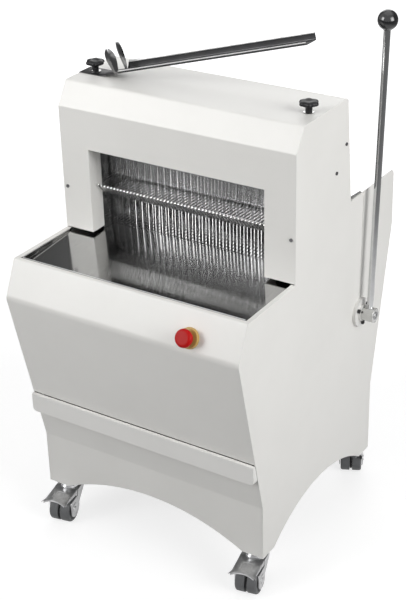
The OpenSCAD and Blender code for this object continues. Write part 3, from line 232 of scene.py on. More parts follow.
# Base frame and inner carriers
# Welded plate and box section in plain grey primer, hidden behind the panels.
# The control box and the drawer runners are screwed to it.
primer_grey = finish("primer_grey", fine_grain, {
    "Colour": (0.2, 0.205, 0.21, 1), "Shade": (0.15, 0.15, 0.155, 1), "Grain": 260.0,
    "Roughness": 0.55, "Spread": 0.2}, bump=0.25, depth=0.0003)
for inner in ("base_frame", "guide_bridge", "control_box", "drawer_runners", "pillow_blocks", "motor"):
    dress(inner, primer_grey, edge=0.001)


# Stainless tables, liners and tray cheeks
# Brushed sheet with the grain along the feed. The front table is a shallow tray that falls to the rim,
# and its folded hem shows as a pale line behind the painted edge: a painted highlight.
def brushed_group():
    """Brushed or ground metal: fine lines drawn out along one axis, in tone, gloss and relief."""
    tree, given, wanted = shader_group("brushed_metal", "Stretch", "Vector")
    place = put(tree, "TexCoord").outputs["Object"]
    drawn = put(tree, "Mapping", Vector=place, Scale=given["Stretch"])
    lines = put(tree, "TexNoise", Vector=drawn.outputs[0], Scale=1.0, Detail=3.0, Roughness=0.6)
    cloud = put(tree, "TexNoise", Vector=place, Scale=11.0, Detail=4.0, Roughness=0.6)
    both = put(tree, "Math", {"operation": "MULTIPLY_ADD"}, in0=cloud.outputs[0], in1=0.45, in2=-0.225)
    level = put(tree, "Math", {"operation": "ADD"}, in0=lines.outputs[0], in1=both.outputs[0])
    tone = put(tree, "MapRange", Value=level.outputs[0], From_Min=0.28, From_Max=0.72)
    return end_group(tree, given, wanted, tone.outputs[0], level.outputs[0], lines.outputs[0])


brushed = brushed_group()
table_steel = finish("table_stainless", brushed, {
    "Colour": (0.46, 0.46, 0.455, 1), "Shade": (0.38, 0.38, 0.378, 1), "Stretch": (900.0, 10.0, 900.0),
    "Roughness": 0.11, "Spread": 0.05}, bump=0.02, depth=0.00005, Metallic=1.0)
cheek_steel = finish("cheek_stainless", brushed, {
    "Colour": (0.6, 0.6, 0.595, 1), "Shade": (0.5, 0.5, 0.498, 1), "Stretch": (900.0, 14.0, 900.0),
    "Roughness": 0.24, "Spread": 0.16}, bump=0.05, depth=0.00005, Metallic=1.0)
for sheet in ("front_table", "bed_grid", "rear_table"):
    dress(sheet, table_steel, edge=0.0005)
for sheet in ("mouth_liners", "tray_cheeks"):
    dress(sheet, cheek_steel, edge=0.0005)


# Blade frames and blades
# Two ground steel frames saw against each other on upright rods, each strung with thin blades.
# A blade is spring steel, ground to a wavy edge on the side that meets the loaf.
ground_steel = finish("ground_steel", brushed, {
    "Colour": (0.42, 0.42, 0.425, 1), "Shade": (0.33, 0.33, 0.335, 1), "Stretch": (30.0, 800.0, 800.0),
    "Roughness": 0.34, "Spread": 0.2}, bump=0.08, depth=0.00008, Metallic=1.0)
blade_steel = finish("blade_steel", brushed, {
    "Colour": (0.72, 0.72, 0.73, 1), "Shade": (0.6, 0.6, 0.61, 1), "Stretch": (800.0, 900.0, 16.0),
    "Roughness": 0.18, "Spread": 0.14}, bump=0.05, depth=0.00005, Metallic=1.0)


def choose(test, kind="verts"):
    """In edit mode, selects the points, edges or faces of the piece in hand that pass a test."""
    bpy.ops.mesh.select_mode(type={"verts": "VERT", "edges": "EDGE", "faces": "FACE"}[kind])
    bpy.ops.mesh.select_all(action="DESELECT")
    mesh = bmesh.from_edit_mesh(bpy.context.object.data)
    for part in getattr(mesh, kind):
        if test(part):
            part.select_set(True)
    mesh.select_flush_mode()
    bmesh.update_edit_mesh(bpy.context.object.data)


def begin(name, primitive, **sizes):
    """Adds a primitive with nothing else selected and opens it in edit mode, all selected."""
    bpy.ops.object.select_all(action="DESELECT")
    primitive(**sizes)
    piece = bpy.context.object
    piece.name = name
    piece.data.name = name
    bpy.ops.object.mode_set(mode="EDIT")
    bpy.ops.mesh.select_all(action="SELECT")
    return piece


def close(piece, smooth=35):
    """Ends the edit: merges doubles, turns the faces out, and moves the object's place into its mesh."""
    bpy.ops.object.mode_set(mode="EDIT")
    bpy.ops.mesh.select_all(action="SELECT")
    bpy.ops.mesh.remove_doubles(threshold=0.000002)
    bpy.ops.mesh.normals_make_consistent(inside=False)
    bpy.ops.object.mode_set(mode="OBJECT")
    bpy.ops.object.select_all(action="DESELECT")
    piece.select_set(True)
    bpy.context.view_layer.objects.active = piece
    bpy.ops.object.transform_apply(location=True, rotation=True, scale=True)
    bpy.ops.object.shade_smooth_by_angle(angle=math.radians(smooth))
    return piece


def modify(piece, kind, **values):
    """Adds a modifier to the piece and applies it."""
    made = piece.modifiers.new(kind.lower(), kind)
    for key, value in values.items():
        setattr(made, key, value)
    bpy.context.view_layer.objects.active = piece
    bpy.ops.object.modifier_apply(modifier=made.name)


def copy_of(piece, name, placing):
    """A copy with its own mesh, moved in its mesh."""
    twin = piece.copy()
    twin.data = piece.data.copy()
    twin.name = name
    twin.data.name = name
    twin.data.transform(placing)
    bpy.context.scene.collection.objects.link(twin)
    return twin


def join(pieces, name):
    """Makes one piece of several."""
    bpy.ops.object.select_all(action="DESELECT")
    for piece in pieces:
        piece.select_set(True)
    bpy.context.view_layer.objects.active = pieces[0]
    bpy.ops.object.join()
    pieces[0].name = name
    pieces[0].data.name = name
    return pieces[0]


def ride_on(piece, body, slot, material, *stands_for):
    """Gives a new piece its material and its body, and hides the CAD nodes that it stands for. The slot is
    not used.
    """
    piece.data.materials.clear()
    piece.data.materials.append(material)
    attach(piece, body)
    if stands_for:
        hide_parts(*stands_for)


def scalloped_blade(low, high, thick):
    """One blade with its waves on the loaf side, standing on the mid plane of the machine."""
    waves = 30
    wave_depths = ((1, 0.0011), (2, 0.0016), (3, 0.0011))
    length = high.z - low.z
    blade = begin("blade", bpy.ops.mesh.primitive_plane_add, size=1)
    bpy.ops.transform.resize(value=(length, high.y - low.y, 1))
    choose(lambda edge: abs(edge.verts[0].co.y - edge.verts[1].co.y) < 0.0001, "edges")
    bpy.ops.mesh.subdivide(number_cuts=4 * waves - 1)
    pitch = length / waves
    for step, depth in wave_depths:
        choose(lambda v: v.co.y > 0.001 and round((v.co.x + length / 2) / (pitch / 4)) % 4 == step)
        bpy.ops.transform.translate(value=(0, -depth, 0))
    bpy.ops.object.mode_set(mode="OBJECT")
    modify(blade, "SOLIDIFY", thickness=thick, offset=0)
    stand_up = Matrix.Rotation(math.radians(-90), 4, "Y")
    blade.matrix_world = Matrix.Translation((0, (low.y + high.y) / 2, (low.z + high.z) / 2)) @ stand_up
    return close(blade, smooth=20)


blade_t = 0.0008
ground_t = 0.0007
for row, count in (("front", 25), ("rear", 24)):
    dress(row + "_blade_frame", ground_steel, edge=0.0008)
    low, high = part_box(row + "_blades")
    step = (high.x - low.x - blade_t) / (count - 1)
    first = scalloped_blade(low, high, ground_t)
    first.data.transform(Matrix.Translation((low.x + blade_t / 2, 0, 0)))
    row_of_blades = [first]
    for i in range(1, count):
        row_of_blades.append(copy_of(first, "blade_copy", Matrix.Translation((i * step, 0, 0))))
    row_of_blades = join(row_of_blades, row + "_wavy_blades")
    ride_on(row_of_blades, row + "_saw", "stainless", blade_steel, row + "_blades")


# Drive
# A motor under the table turns the crankshaft over a flat belt, and its eccentrics shake the blade frames.
# The shafts are ground, the pulleys turned, the belt is black rubber.
def plated_group():
    """Plated, cast or rolled metal: soft clouds in tone and gloss with a faint grain."""
    tree, given, wanted = shader_group("plated_metal", "Cloud", "Float")
    place = put(tree, "TexCoord").outputs["Object"]
    cloud = put(tree, "TexNoise", Vector=place, Scale=given["Cloud"], Detail=6.0, Roughness=0.65)
    tone = put(tree, "MapRange", Value=cloud.outputs[0], From_Min=0.35, From_Max=0.68)
    grain = put(tree, "TexNoise", Vector=place, Scale=900.0, Detail=2.0, Roughness=0.5)
    return end_group(tree, given, wanted, tone.outputs[0], cloud.outputs[0], grain.outputs[0])


plated = plated_group()
bright_chrome = finish("bright_chrome", plated, {
    "Colour": (0.66, 0.665, 0.67, 1), "Shade": (0.6, 0.605, 0.61, 1), "Cloud": 40.0,
    "Roughness": 0.1, "Spread": 0.08}, bump=0.01, depth=0.00005, Metallic=1.0)
turned_metal = finish("turned_metal", plated, {
    "Colour": (0.4, 0.405, 0.41, 1), "Shade": (0.3, 0.3, 0.31, 1), "Cloud": 90.0,
    "Roughness": 0.36, "Spread": 0.2}, bump=0.05, depth=0.0001, Metallic=1.0)
belt_black = finish("belt_rubber", fine_grain, {
    "Colour": (0.02, 0.02, 0.021, 1), "Shade": (0.035, 0.035, 0.035, 1), "Grain": 700.0,
    "Roughness": 0.7, "Spread": 0.2}, bump=0.3, depth=0.0003)
for shaft in ("crankshaft", "slide_rods"):
    dress(shaft, bright_chrome, edge=0.0005)
for wheel in ("drive_pulley", "motor_pulley"):
    dress(wheel, turned_metal, edge=0.0006)
dress("drive_belt", belt_black, edge=0.0005)


# Lever
# A chromed rod stands in a turned boss on the lever shaft and ends in a glossy black ball.
# The shaft runs in two cast flanges, coated white with the body, each held by three black socket bolts.
flange_coat = finish("flange_coat", fine_grain, {
    "Colour": (0.8, 0.79, 0.765, 1), "Shade": (0.76, 0.75, 0.725, 1), "Grain": 520.0,
    "Roughness": 0.34, "Spread": 0.12}, bump=0.16, depth=0.0003, Specular_IOR_Level=0.45)
shaft_steel = finish("shaft_steel", plated, {
    "Colour": (0.62, 0.62, 0.61, 1), "Shade": (0.54, 0.54, 0.53, 1), "Cloud": 80.0,
    "Roughness": 0.2, "Spread": 0.12}, bump=0.02, depth=0.0001, Metallic=1.0)
bolt_black = finish("bolt_black", plated, {
    "Colour": (0.03, 0.03, 0.032, 1), "Shade": (0.05, 0.05, 0.052, 1), "Cloud": 300.0,
    "Roughness": 0.42, "Spread": 0.2}, bump=0.05, depth=0.0001, Metallic=0.6)
ball_black = finish("ball_black", fine_grain, {
    "Colour": (0.012, 0.012, 0.013, 1), "Shade": (0.016, 0.016, 0.017, 1), "Grain": 300.0,
    "Roughness": 0.14, "Spread": 0.08}, bump=0.01, depth=0.0001, Coat_Weight=0.4, Coat_Roughness=0.05)
dress("lever_flanges", flange_coat, edge=0.001, steps=3)
dress("flange_bolts", bolt_black, edge=0.0005)
dress("lever_shaft", shaft_steel, edge=0.001, steps=3)
dress("lever_rod", bright_chrome, edge=0.0005)
dress("lever_arms", ground_steel, edge=0.0008)


def pull_out(x, y, z):
    """Extrudes what is selected and moves the new part."""
    bpy.ops.mesh.extrude_region_move(TRANSFORM_OT_translate={"value": (x, y, z)})


def turned(name, profile, sides=64):
    """A turned piece: a disc that is extruded and scaled along its axis through (height, radius) steps."""
    height, radius = profile[0]
    piece = begin(name, bpy.ops.mesh.primitive_circle_add, vertices=sides, radius=radius, fill_type="NGON",
                  location=(0, 0, 0))
    bpy.ops.transform.translate(value=(0, 0, height))
    for next_height, next_radius in profile[1:]:
        pull_out(0, 0, next_height - height)
        grow = next_radius / radius
        bpy.ops.transform.resize(value=(grow, grow, 1))
        height, radius = next_height, next_radius
    return piece


def axis_between(start, end):
    """The placing that lays a piece built along Z from one point towards another."""
    return Matrix.Translation(start) @ (end - start).to_track_quat("Z", "Y").to_matrix().to_4x4()


ball_low, ball_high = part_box("lever_ball")
ball_at = (ball_low + ball_high) / 2
ball_r = (ball_high.x - ball_low.x) / 2
lean = math.radians(2.85)
lever_up = Vector((0, math.sin(lean), math.cos(lean)))
arc_start = -62
arc_sweep = 149
arc_steps = 21
ball_profile = [(-ball_r, 0.0078), (-ball_r * 0.93, 0.0092)]
for i in range(arc_steps + 1):
    turn = math.radians(arc_start + arc_sweep * i / arc_steps)
    ball_profile.append((ball_r * math.sin(turn), ball_r * math.cos(turn)))
ball_profile.append((ball_r * 0.9995, 0.0004))
ball = turned("lever_ball_grip", ball_profile)
ball.matrix_world = axis_between(ball_at, ball_at + lever_up)
ride_on(close(ball, smooth=40), "lever", "black_gloss", ball_black, "lever_ball")

shaft_low, shaft_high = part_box("lever_shaft")
shaft_at = Vector((shaft_high.x, (shaft_low.y + shaft_high.y) / 2, (shaft_low.z + shaft_high.z) / 2))
end_cap = turned("boss_end_screw", [
    (-0.002, 0.0095), (0.0006, 0.0095), (0.0011, 0.009), (0.0011, 0.0052), (-0.001, 0.005), (-0.001, 0.001)])
end_cap.matrix_world = axis_between(shaft_at, shaft_at + Vector((1, 0, 0)))
ride_on(close(end_cap), "lever", "machined_steel", turned_metal)


# Front hem
# The front table's folded edge is rolled to a half round, polished bead behind the painted rim.
# It is made with the table, from the same sheet, but coloured near white with little metal: a painted
# highlight.
hem_polish = finish("hem_polish", plated, {
    "Colour": (0.88, 0.88, 0.875, 1), "Shade": (0.82, 0.82, 0.815, 1), "Cloud": 30.0,
    "Roughness": 0.3, "Spread": 0.1}, bump=0.02, depth=0.00005, Metallic=0.35)
hem_inset = 0.003
hem_back = 0.0024
hem_z = 0.7151


def rolled_edge(name, start, length, ends, sides):
    """A rolled edge along X, a long round that is eased at both ends through (distance, radius) steps."""
    roll = turned(name, ends + [(length - far, radius) for far, radius in reversed(ends)], sides=sides)
    roll.matrix_world = axis_between(start, start + Vector((1, 0, 0)))
    return close(roll)


table_low, table_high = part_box("front_table")
hem_at = Vector((table_low.x + hem_inset, table_low.y + hem_back, hem_z))
bead = rolled_edge("front_hem_bead", hem_at, table_high.x - table_low.x - 2 * hem_inset,
                   [(0, 0.0004), (0.0005, 0.0012), (0.0016, 0.0018)], sides=20)
ride_on(bead, "cabinet", "stainless", hem_polish)


# Pusher
# A stainless comb whose fingers pass between the blades, on a carriage that runs on two level rods.
# The carriage is made of ground bar, with a slotted plate at each side for the pin of a lever arm.
comb_steel = finish("comb_stainless", brushed, {
    "Colour": (0.68, 0.68, 0.675, 1), "Shade": (0.56, 0.56, 0.555, 1), "Stretch": (900.0, 900.0, 30.0),
    "Roughness": 0.2, "Spread": 0.14}, bump=0.04, depth=0.00005, Metallic=1.0)
dress("pusher_carriage", ground_steel, edge=0.0008)
dress("pusher_comb", comb_steel, edge=0.0006)


# Hold-down comb
# A polished tube on two pivots behind the blades, with rounded fingers that reach forward between the blades
# over the loaf and turn up at their tips.
dress("comb_tube", comb_steel, edge=0.0005)
finger_steel = finish("finger_polish", brushed, {
    "Colour": (0.92, 0.92, 0.915, 1), "Shade": (0.82, 0.82, 0.815, 1), "Stretch": (900.0, 30.0, 900.0),
    "Roughness": 0.2, "Spread": 0.1}, bump=0.02, depth=0.00005, Metallic=1.0)
dress("comb_fingers", finger_steel, edge=0.0013, steps=3)


# Crumb drawer
# A stainless tray behind a white front that is folded over at the top for a grip and rolled at its edge.
# Short returns at its two ends close the wedge in front of the side panels.
drawer_white = finish("drawer_white", fine_grain, {
    "Colour": (0.85, 0.84, 0.815, 1), "Shade": (0.82, 0.81, 0.785, 1), "Grain": 420.0,
    "Roughness": 0.34, "Spread": 0.1}, bump=0.1, depth=0.0003, Specular_IOR_Level=0.45)
dress("drawer_front", drawer_white, edge=0.0016, steps=4)
drawer_low, drawer_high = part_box("drawer_front")
panel_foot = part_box("front_panel")[0].z
panel_edge = min(v.co.y for v in nodes["front_panel"].data.vertices if v.co.z < panel_foot + 0.001)
grip_inset = 0.006
grip_at = Vector((drawer_low.x + grip_inset, panel_edge - 0.0026, drawer_high.z - 0.0013))
grip = rolled_edge("drawer_grip_roll", grip_at, drawer_high.x - drawer_low.x - 2 * grip_inset,
                   [(0, 0.0006), (0.0008, 0.0017), (0.003, 0.0022)], sides=24)
ride_on(grip, "drawer", "drawer_paint", drawer_white)

return_h = 0.04
return_t = 0.0012
return_d = 0.0044
return_wedge = 0.0092
return_inset = 0.0009
plate_back = 0.0039
corner_room = 0.0055
right_return = begin("right_return", bpy.ops.mesh.primitive_plane_add, size=1, location=(0, 0, 0))
bpy.ops.transform.resize(value=(return_h, return_d, 1))
choose(lambda v: v.co.x < 0 and v.co.y > 0)
bpy.ops.transform.translate(value=(0, return_wedge, 0))
bpy.ops.object.mode_set(mode="OBJECT")
modify(right_return, "SOLIDIFY", thickness=return_t, offset=0)
modify(right_return, "BEVEL", width=0.0003, segments=2, limit_method="ANGLE", angle_limit=math.radians(40))
return_at = (drawer_high.x - return_inset, drawer_low.y + plate_back + return_d / 2,
             drawer_low.z + corner_room + return_h / 2)
right_return.matrix_world = Matrix.Translation(return_at) @ Matrix.Rotation(math.radians(-90), 4, "Y")
close(right_return)
to_left = Matrix.Translation((drawer_low.x - drawer_high.x + 2 * return_inset, 0, 0))
left_return = copy_of(right_return, "left_return", to_left)
ride_on(join([right_return, left_return], "drawer_front_returns"), "drawer", "drawer_paint", drawer_white)
dress("crumb_tray", cheek_steel, edge=0.0005)


# Stop button
# A red mushroom cap on a white plunger in a yellow collar, all moulded, with the contact block behind.
# The collar is clamped in the front panel, the plunger slides in it, and the cap twists on the plunger.
cap_red = finish("cap_red", fine_grain, {
    "Colour": (0.46, 0.007, 0.006, 1), "Shade": (0.4, 0.006, 0.005, 1), "Grain": 900.0,
    "Roughness": 0.34, "Spread": 0.1}, bump=0.05, depth=0.0002, Specular_IOR_Level=0.14)
collar_yellow = finish("collar_yellow", fine_grain, {
    "Colour": (0.52, 0.33, 0.09, 1), "Shade": (0.46, 0.29, 0.08, 1), "Grain": 900.0,
    "Roughness": 0.4, "Spread": 0.12}, bump=0.05, depth=0.0002)
plunger_white = finish("plunger_white", fine_grain, {
    "Colour": (0.5, 0.5, 0.48, 1), "Shade": (0.45, 0.45, 0.43, 1), "Grain": 900.0,
    "Roughness": 0.5, "Spread": 0.1}, bump=0.05, depth=0.0002)
moulded_black = finish("moulded_black", fine_grain, {
    "Colour": (0.011, 0.011, 0.012, 1), "Shade": (0.016, 0.016, 0.017, 1), "Grain": 1500.0,
    "Roughness": 0.36, "Spread": 0.16}, bump=0.2, depth=0.0002, Specular_IOR_Level=0.2)
dress("stop_cap", cap_red, edge=0.0003)
dress("stop_collar", collar_yellow, edge=0.0004)
dress("stop_plunger", plunger_white, edge=0.0004)
dress("stop_contacts", moulded_black, edge=0.0008)


# Bag scoop
# One sheet of stainless: a flat foot under the knob bends up into a long trough with a rear wall and a lip.
# Two ears, folded along their middle and spot welded at the low end, hold a bag open over the trough.
scoop_grey = finish("scoop_stainless", plated, {
    "Colour": (0.26, 0.26, 0.262, 1), "Shade": (0.2, 0.2, 0.202, 1), "Cloud": 24.0,
    "Roughness": 0.16, "Spread": 0.08}, bump=0.02, depth=0.00005, Metallic=1.0)
# The trough and its walls are the same stainless sheet as the ears, coloured far darker: a painted dark
# reflection.
scoop_painted_dark = finish("scoop_floor", plated, {
    "Colour": (0.085, 0.085, 0.087, 1), "Shade": (0.065, 0.065, 0.067, 1), "Cloud": 24.0,
    "Roughness": 0.4, "Spread": 0.1}, bump=0.02, depth=0.00005, Metallic=1.0)
# The flared and rolled edges of the same sheet are coloured near white with little metal: a painted
# highlight.
scoop_bright = finish("scoop_bright_edge", plated, {
    "Colour": (0.86, 0.86, 0.855, 1), "Shade": (0.8, 0.8, 0.795, 1), "Cloud": 24.0,
    "Roughness": 0.42, "Spread": 0.1}, bump=0.03, depth=0.00005, Metallic=0.35)
scoop_low, scoop_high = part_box("bag_scoop")
half_w = (scoop_high.y - scoop_low.y) / 2 - 0.0004
mid_y = (scoop_high.y + scoop_low.y) / 2
tilt = math.radians(16)
foot_l = 0.06
fold_r = 0.003
tangent = 0.0084
sheet_t = 0.0012
bend_steps = 6
narrow_from = 0.045
vertex = Vector((scoop_low.x + foot_l, mid_y, scoop_low.z + 0.00075))
trough_l = (scoop_high.x - scoop_low.x - foot_l) / math.cos(tilt) - 0.0006
along = Matrix.Translation(vertex) @ Matrix.Rotation(-tilt, 4, "Y")
trough = begin("scoop_trough", bpy.ops.mesh.primitive_plane_add, size=1, location=(0, 0, 0))
bpy.ops.transform.resize(value=(foot_l - tangent, 2 * half_w, 1))
bpy.ops.transform.translate(value=(vertex.x - (foot_l + tangent) / 2, vertex.y, vertex.z))
choose(lambda v: v.co.x > vertex.x - tangent - 0.001)
bend_r = tangent / math.tan(tilt / 2)
chord = 2 * bend_r * math.sin(tilt / (2 * bend_steps))
for i in range(bend_steps):
    turn = tilt * (i + 0.5) / bend_steps
    pull_out(chord * math.cos(turn), 0, chord * math.sin(turn))
for run in (0.028, 0.012, trough_l - tangent - 0.04):
    pull_out(run * math.cos(tilt), 0, run * math.sin(tilt))
choose(lambda v: v.co.x > vertex.x + narrow_from)
bpy.ops.transform.resize(value=(1, (half_w - fold_r) / half_w, 1), center_override=vertex)
bpy.ops.object.mode_set(mode="OBJECT")
modify(trough, "SOLIDIFY", thickness=sheet_t, offset=0)
modify(trough, "BEVEL", width=0.0002, segments=2, limit_method="ANGLE", angle_limit=math.radians(40))
ride_on(close(trough), "scoop", "chrome", scoop_painted_dark, "bag_scoop")


def trough_strip(name, path):
    """A strip drawn along the trough through (across, up) steps, with its low end raked by the ears."""
    low_end = 0.046
    start_w = 0.001
    rake = 0.5
    run = trough_l - low_end
    strip = begin(name, bpy.ops.mesh.primitive_plane_add, size=1, location=(0, 0, 0))
    bpy.ops.transform.resize(value=(run, start_w, 1))
    bpy.ops.transform.translate(value=(low_end + run / 2, path[0][0] + start_w / 2, path[0][1]))
    choose(lambda v: v.co.y > path[0][0] + start_w / 2)
    bpy.ops.transform.translate(value=(0, path[1][0] - path[0][0] - start_w, path[1][1] - path[0][1]))
    for here, there in zip(path[1:], path[2:]):
        pull_out(0, there[0] - here[0], there[1] - here[1])
    for up in sorted({round(step[1], 6) for step in path}):
        choose(lambda v: v.co.x < low_end + 0.004 and abs(v.co.z - up) < 0.00002)
        bpy.ops.transform.translate(value=(rake * max(up, 0), 0, 0))
    bpy.ops.object.mode_set(mode="OBJECT")
    modify(strip, "SOLIDIFY", thickness=0.0009, offset=0)
    strip.matrix_world = along
    return close(strip, smooth=50)


wall_r = 0.0022
floor_up = 0.0001
wall_h = 0.0138
lip_h = 0.0042
floor_w = half_w - fold_r
wall_w = floor_w + wall_r
fold = [(floor_w - 0.001, floor_up), (floor_w, floor_up)]
for i in range(1, 5):
    bend = math.radians(22.5 * i)
    fold.append((floor_w + wall_r * math.sin(bend), floor_up + wall_r * (1 - math.cos(bend))))
rear_wall = trough_strip("rear_wall", fold + [(wall_w, wall_h)])
front_lip = trough_strip("front_lip", [(-y, z) for y, z in fold] + [(-wall_w, lip_h)])
ride_on(join([rear_wall, front_lip], "scoop_walls"), "scoop", "chrome", scoop_painted_dark)
rear_flare = trough_strip("rear_flare", [
    (wall_w, 0.0137), (wall_w - 0.0001, 0.0146), (wall_w + 0.0002, 0.016), (wall_w + 0.0006, 0.0172),
    (wall_w + 0.0001, 0.0178)])
front_roll = trough_strip("front_roll", [
    (-wall_w, 0.0041), (-wall_w - 0.0002, 0.005), (-wall_w - 0.0006, 0.0056), (-wall_w, 0.0059)])
ride_on(join([rear_flare, front_roll], "scoop_edges"), "scoop", "chrome", scoop_bright)


def folded_ear(name, across, tall, broad, turn, sway):
    """A leaf of sheet, folded along its middle, rounded at the tip and swaying to one side."""
    widths = (0.4, 0.52, 0.63, 0.73, 0.82, 0.9, 0.96, 1.0, 1.0, 0.95, 0.84, 0.62, 0.22)
    fold_h = 0.0031
    last = len(widths) - 1
    ear = begin(name, bpy.ops.mesh.primitive_grid_add, x_subdivisions=2, y_subdivisions=last, size=1)
    bpy.ops.transform.resize(value=(broad, tall, 1))
    choose(lambda v: abs(v.co.x) < 0.001)
    bpy.ops.transform.translate(value=(0, 0, fold_h))
    for i, wide in enumerate(widths):
        level = tall * (i / last - 0.5)
        choose(lambda v: abs(v.co.y - level) < 0.001)
        bpy.ops.transform.resize(value=(wide, 1, 0.4 + 0.6 * wide), center_override=(0, level, 0))
        bpy.ops.transform.translate(value=(sway * (i / last) ** 1.4, 0, 0))
    bpy.ops.object.mode_set(mode="OBJECT")
    modify(ear, "SOLIDIFY", thickness=0.001, offset=0)
    modify(ear, "BEVEL", width=0.0003, segments=2, limit_method="ANGLE", angle_limit=math.radians(22))
    lift = Matrix.Translation((ear_at, across, tall / 2 + 0.0002))
    stand = Matrix.Rotation(math.radians(turn), 4, "Z") @ Matrix.Rotation(math.radians(90), 4, "X")
    ear.matrix_world = along @ lift @ stand
    return close(ear, smooth=22)


ear_at = 0.044
ear_side = half_w - 0.0008
ears = join([folded_ear("front_ear", -ear_side, 0.057, 0.028, 0, -0.006),
             folded_ear("rear_ear", ear_side - 0.0036, 0.064, 0.022, -18, -0.008)], "scoop_ears")
ride_on(ears, "scoop", "chrome", scoop_grey)


# Star knobs
# Moulded black knobs with six lobes over a tapered skirt and a round stem.
# Each is moulded round a steel stud and turns on a plain washer.
knob_h = 0.026


def star_knob(name, low, high):
    """A turned blank whose head is then drawn in between its six lobes."""
    sides = 72
    lobe_sides = 12
    half_lobe = lobe_sides // 2
    dip = 0.15
    foot = high.z - knob_h
    knob = turned(name, [
        (low.z - foot, 0.004), (0.0014, 0.004), (0.0014, 0.0072), (0.0105, 0.0074), (0.0125, 0.0092),
        (0.0155, 0.0165), (0.0172, 0.0206), (0.0188, 0.0219), (0.0212, 0.0219), (0.0236, 0.0205),
        (0.0249, 0.0178), (0.0256, 0.0135), (0.0255, 0.0085), (0.0245, 0.005), (0.0243, 0.001)], sides=sides)

    def from_crown(v):
        """How many sides of the blank lie between a point and the crown of its lobe."""
        side = math.degrees(math.atan2(v.co.y, v.co.x)) * sides / 360
        return half_lobe - round(abs(side % lobe_sides - half_lobe))

    for phase in range(1, half_lobe + 1):
        depth = 1 - dip * (1 - math.cos(math.tau * phase / lobe_sides)) / 2
        choose(lambda v: v.co.xy.length > 0.0125 and from_crown(v) == phase)
        bpy.ops.transform.resize(value=(depth, depth, 1), center_override=(0, 0, 0))
    knob.matrix_world = Matrix.Translation(((low.x + high.x) / 2, (low.y + high.y) / 2, foot))
    return close(knob, smooth=30)


for holder in ("scoop_knob", "cover_knob"):
    knob_low, knob_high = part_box(holder)
    knob = star_knob(holder + "_grip", knob_low, knob_high)
    ride_on(knob, holder, "black_plastic", moulded_black, holder)
    washer = turned(holder + "_washer", [
        (0.0001, 0.0118), (0.0009, 0.012), (0.0012, 0.0115), (0.0013, 0.0078), (0.0013, 0.005)], sides=48)
    washer.matrix_world = Matrix.Translation((
        (knob_low.x + knob_high.x) / 2, (knob_low.y + knob_high.y) / 2, knob_high.z - knob_h))
    ride_on(close(washer), holder, "screw_steel", shaft_steel)


# Castors
# Swivelling twin-wheel castors: pressed, plated forks under a ball race, grey wheels, an arched brake pedal.
# The bell over the race, the axle caps, the moulded guard that keeps thread off the axle and the pressed
# cover of the pedal, with its flared lip and its embossed field, are made once and set at each corner.
fork_plate = finish("fork_plate", plated, {
    "Colour": (0.6, 0.6, 0.605, 1), "Shade": (0.44, 0.44, 0.445, 1), "Cloud": 55.0,
    "Roughness": 0.34, "Spread": 0.25}, bump=0.06, depth=0.0001, Metallic=0.9)
pedal_plate = finish("pedal_plate", plated, {
    "Colour": (0.58, 0.58, 0.585, 1), "Shade": (0.42, 0.42, 0.425, 1), "Cloud": 80.0,
    "Roughness": 0.38, "Spread": 0.25}, bump=0.06, depth=0.0001, Metallic=0.9)
wheel_grey = finish("wheel_grey", fine_grain, {
    "Colour": (0.13, 0.133, 0.137, 1), "Shade": (0.1, 0.102, 0.105, 1), "Grain": 900.0,
    "Roughness": 0.5, "Spread": 0.25}, bump=0.15, depth=0.0002)
bell = close(turned("race_bell", [
    (0.0772, 0.019), (0.0772, 0.0234), (0.0778, 0.0237), (0.0793, 0.0235), (0.0812, 0.0228), (0.084, 0.0224),
    (0.0885, 0.0223), (0.0905, 0.0223), (0.0912, 0.022), (0.0913, 0.019)], sides=56))
axle_at = Vector((0.037, 0, 0.0325))
axle_caps = []
for side in (1, -1):
    cap = turned("axle_cap", [
        (0.0285, 0.0168), (0.0299, 0.0168), (0.0303, 0.0163), (0.0303, 0.0138), (0.0298, 0.0132),
        (0.0298, 0.0078), (0.0312, 0.0074), (0.0318, 0.0064), (0.032, 0.0012)], sides=40)
    cap.matrix_world = Matrix.Translation(axle_at) @ Matrix.Rotation(math.radians(-90 * side), 4, "X")
    axle_caps.append(close(cap))
axle_cap = join(axle_caps, "axle_caps")
guard = turned("thread_guard", [(-0.00295, 0.0262), (-0.0018, 0.0282), (0.0018, 0.0282), (0.00295, 0.0262)],
               sides=56)
guard.matrix_world = Matrix.Translation(axle_at) @ Matrix.Rotation(math.radians(-90), 4, "X")
close(guard)

cover_l = 0.069
cover_w = 0.057
cover_back = 0.0045
cover_t = 0.0009
rows_along = 9
rows_across = 12
arch_h = 0.009
arch_r = ((cover_w / 2) ** 2 + arch_h ** 2) / (2 * arch_h)
race_room = 0.0245
race_front = 0.0195
heel_up = 0.0019
skirt_z = -0.0096
cover = begin("brake_cover", bpy.ops.mesh.primitive_grid_add, x_subdivisions=rows_along,
              y_subdivisions=rows_across, size=1, location=(0, 0, 0))
bpy.ops.transform.resize(value=(cover_l, cover_w, 1))
bpy.ops.transform.translate(value=(cover_l / 2 - cover_back, 0, 0))
for i in range(rows_across + 1):
    across = cover_w * (i / rows_across - 0.5)
    choose(lambda v: abs(v.co.y - across) < 0.0005)
    bpy.ops.transform.translate(value=(0, 0, math.sqrt(arch_r ** 2 - across ** 2) - arch_r))
    clear_of_race = max(0, math.sqrt(max(0, race_room ** 2 - across ** 2)) - race_front)
    choose(lambda v: abs(v.co.y - across) < 0.0005 and v.co.x < 0)
    bpy.ops.transform.translate(value=(clear_of_race, 0, 0))
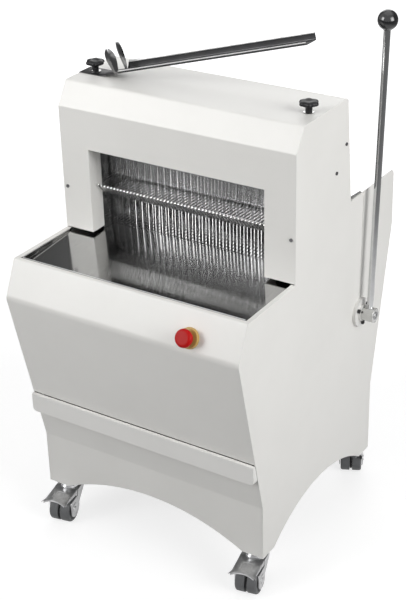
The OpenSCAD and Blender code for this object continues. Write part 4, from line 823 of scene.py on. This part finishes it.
for i in range(rows_along + 1):
    share = (i / rows_along) ** 0.8
    row_x = cover_l * i / rows_along - cover_back
    choose(lambda v: abs(v.co.x - row_x) < 0.002 or (i == 0 and v.co.x < 0.0015))
    bpy.ops.transform.resize(value=(1, 1, share), center_override=(0, 0, 0))
    flare = 1 + 0.15 * max(0, i - 7) / 2
    bpy.ops.transform.resize(value=(1, flare, 1), center_override=(0, 0, 0))
    bpy.ops.transform.translate(value=(0, 0, heel_up * (1 - share) + 0.0007))
choose(lambda f: 0.021 < f.calc_center_median().x < 0.047 and abs(f.calc_center_median().y) < 0.013, "faces")
bpy.ops.mesh.inset(thickness=0.0013, depth=0)
bpy.ops.mesh.inset(thickness=0.0009, depth=0)
bpy.ops.transform.translate(value=(0, 0, -0.0007))
choose(lambda e: e.is_boundary and e.verts[0].co.y * e.verts[1].co.y > 0 and
       min(abs(v.co.y) for v in e.verts) > 0.028, "edges")
pull_out(0, 0, -0.001)
bpy.ops.transform.resize(value=(1, 1, 0), center_override=(0, 0, skirt_z))
bpy.ops.object.mode_set(mode="OBJECT")
modify(cover, "SOLIDIFY", thickness=cover_t, offset=0)
modify(cover, "BEVEL", width=0.00025, segments=2, limit_method="ANGLE", angle_limit=math.radians(40))
cover.matrix_world = Matrix.Translation((0.024, 0, 0.076)) @ Matrix.Rotation(math.radians(-7), 4, "Y")
close(cover, smooth=30)

middle_x = 0.01815
middle_y = 0.30026545
for corner, x, y, turn in (
    ("front_right", 0.263, 0.084, -79), ("front_left", -0.263, 0.084, -79),
    ("rear_right", 0.263, 0.559, 116), ("rear_left", -0.263, 0.559, 64),
):
    dress(corner + "_fork", fork_plate, edge=0.0006)
    dress(corner + "_pedal", pedal_plate, edge=0.0007)
    dress(corner + "_wheels", wheel_grey, edge=0.0004)
    spot = Matrix.Translation((x - middle_x, y - middle_y, 0)) @ Matrix.Rotation(math.radians(turn), 4, "Z")
    for pattern, label, body, slot, material in (
        (bell, "_race_bell", "_castor", "chrome", bright_chrome),
        (axle_cap, "_axle_caps", "_roller", "pressed_steel", fork_plate),
        (guard, "_thread_guard", "_roller", "black_plastic", moulded_black),
        (cover, "_brake_cover", "_brake", "pressed_steel", pedal_plate),
    ):
        ride_on(copy_of(pattern, corner + label, spot), corner + body, slot, material)
for pattern in (bell, axle_cap, guard, cover):
    bpy.data.objects.remove(pattern)


# Small fixings
# Slotted screws hold the tower cover at its legs and sides.
# A moulded gland closes the hole for the cable in the rear panel and is clamped through it.
screw_grey = finish("screw_grey", plated, {
    "Colour": (0.16, 0.16, 0.165, 1), "Shade": (0.11, 0.11, 0.115, 1), "Cloud": 300.0,
    "Roughness": 0.36, "Spread": 0.2}, bump=0.05, depth=0.0001, Metallic=0.9)
dress("cover_screws", screw_grey, edge=0.0004)
dress("cable_gland", moulded_black, edge=0.0006)
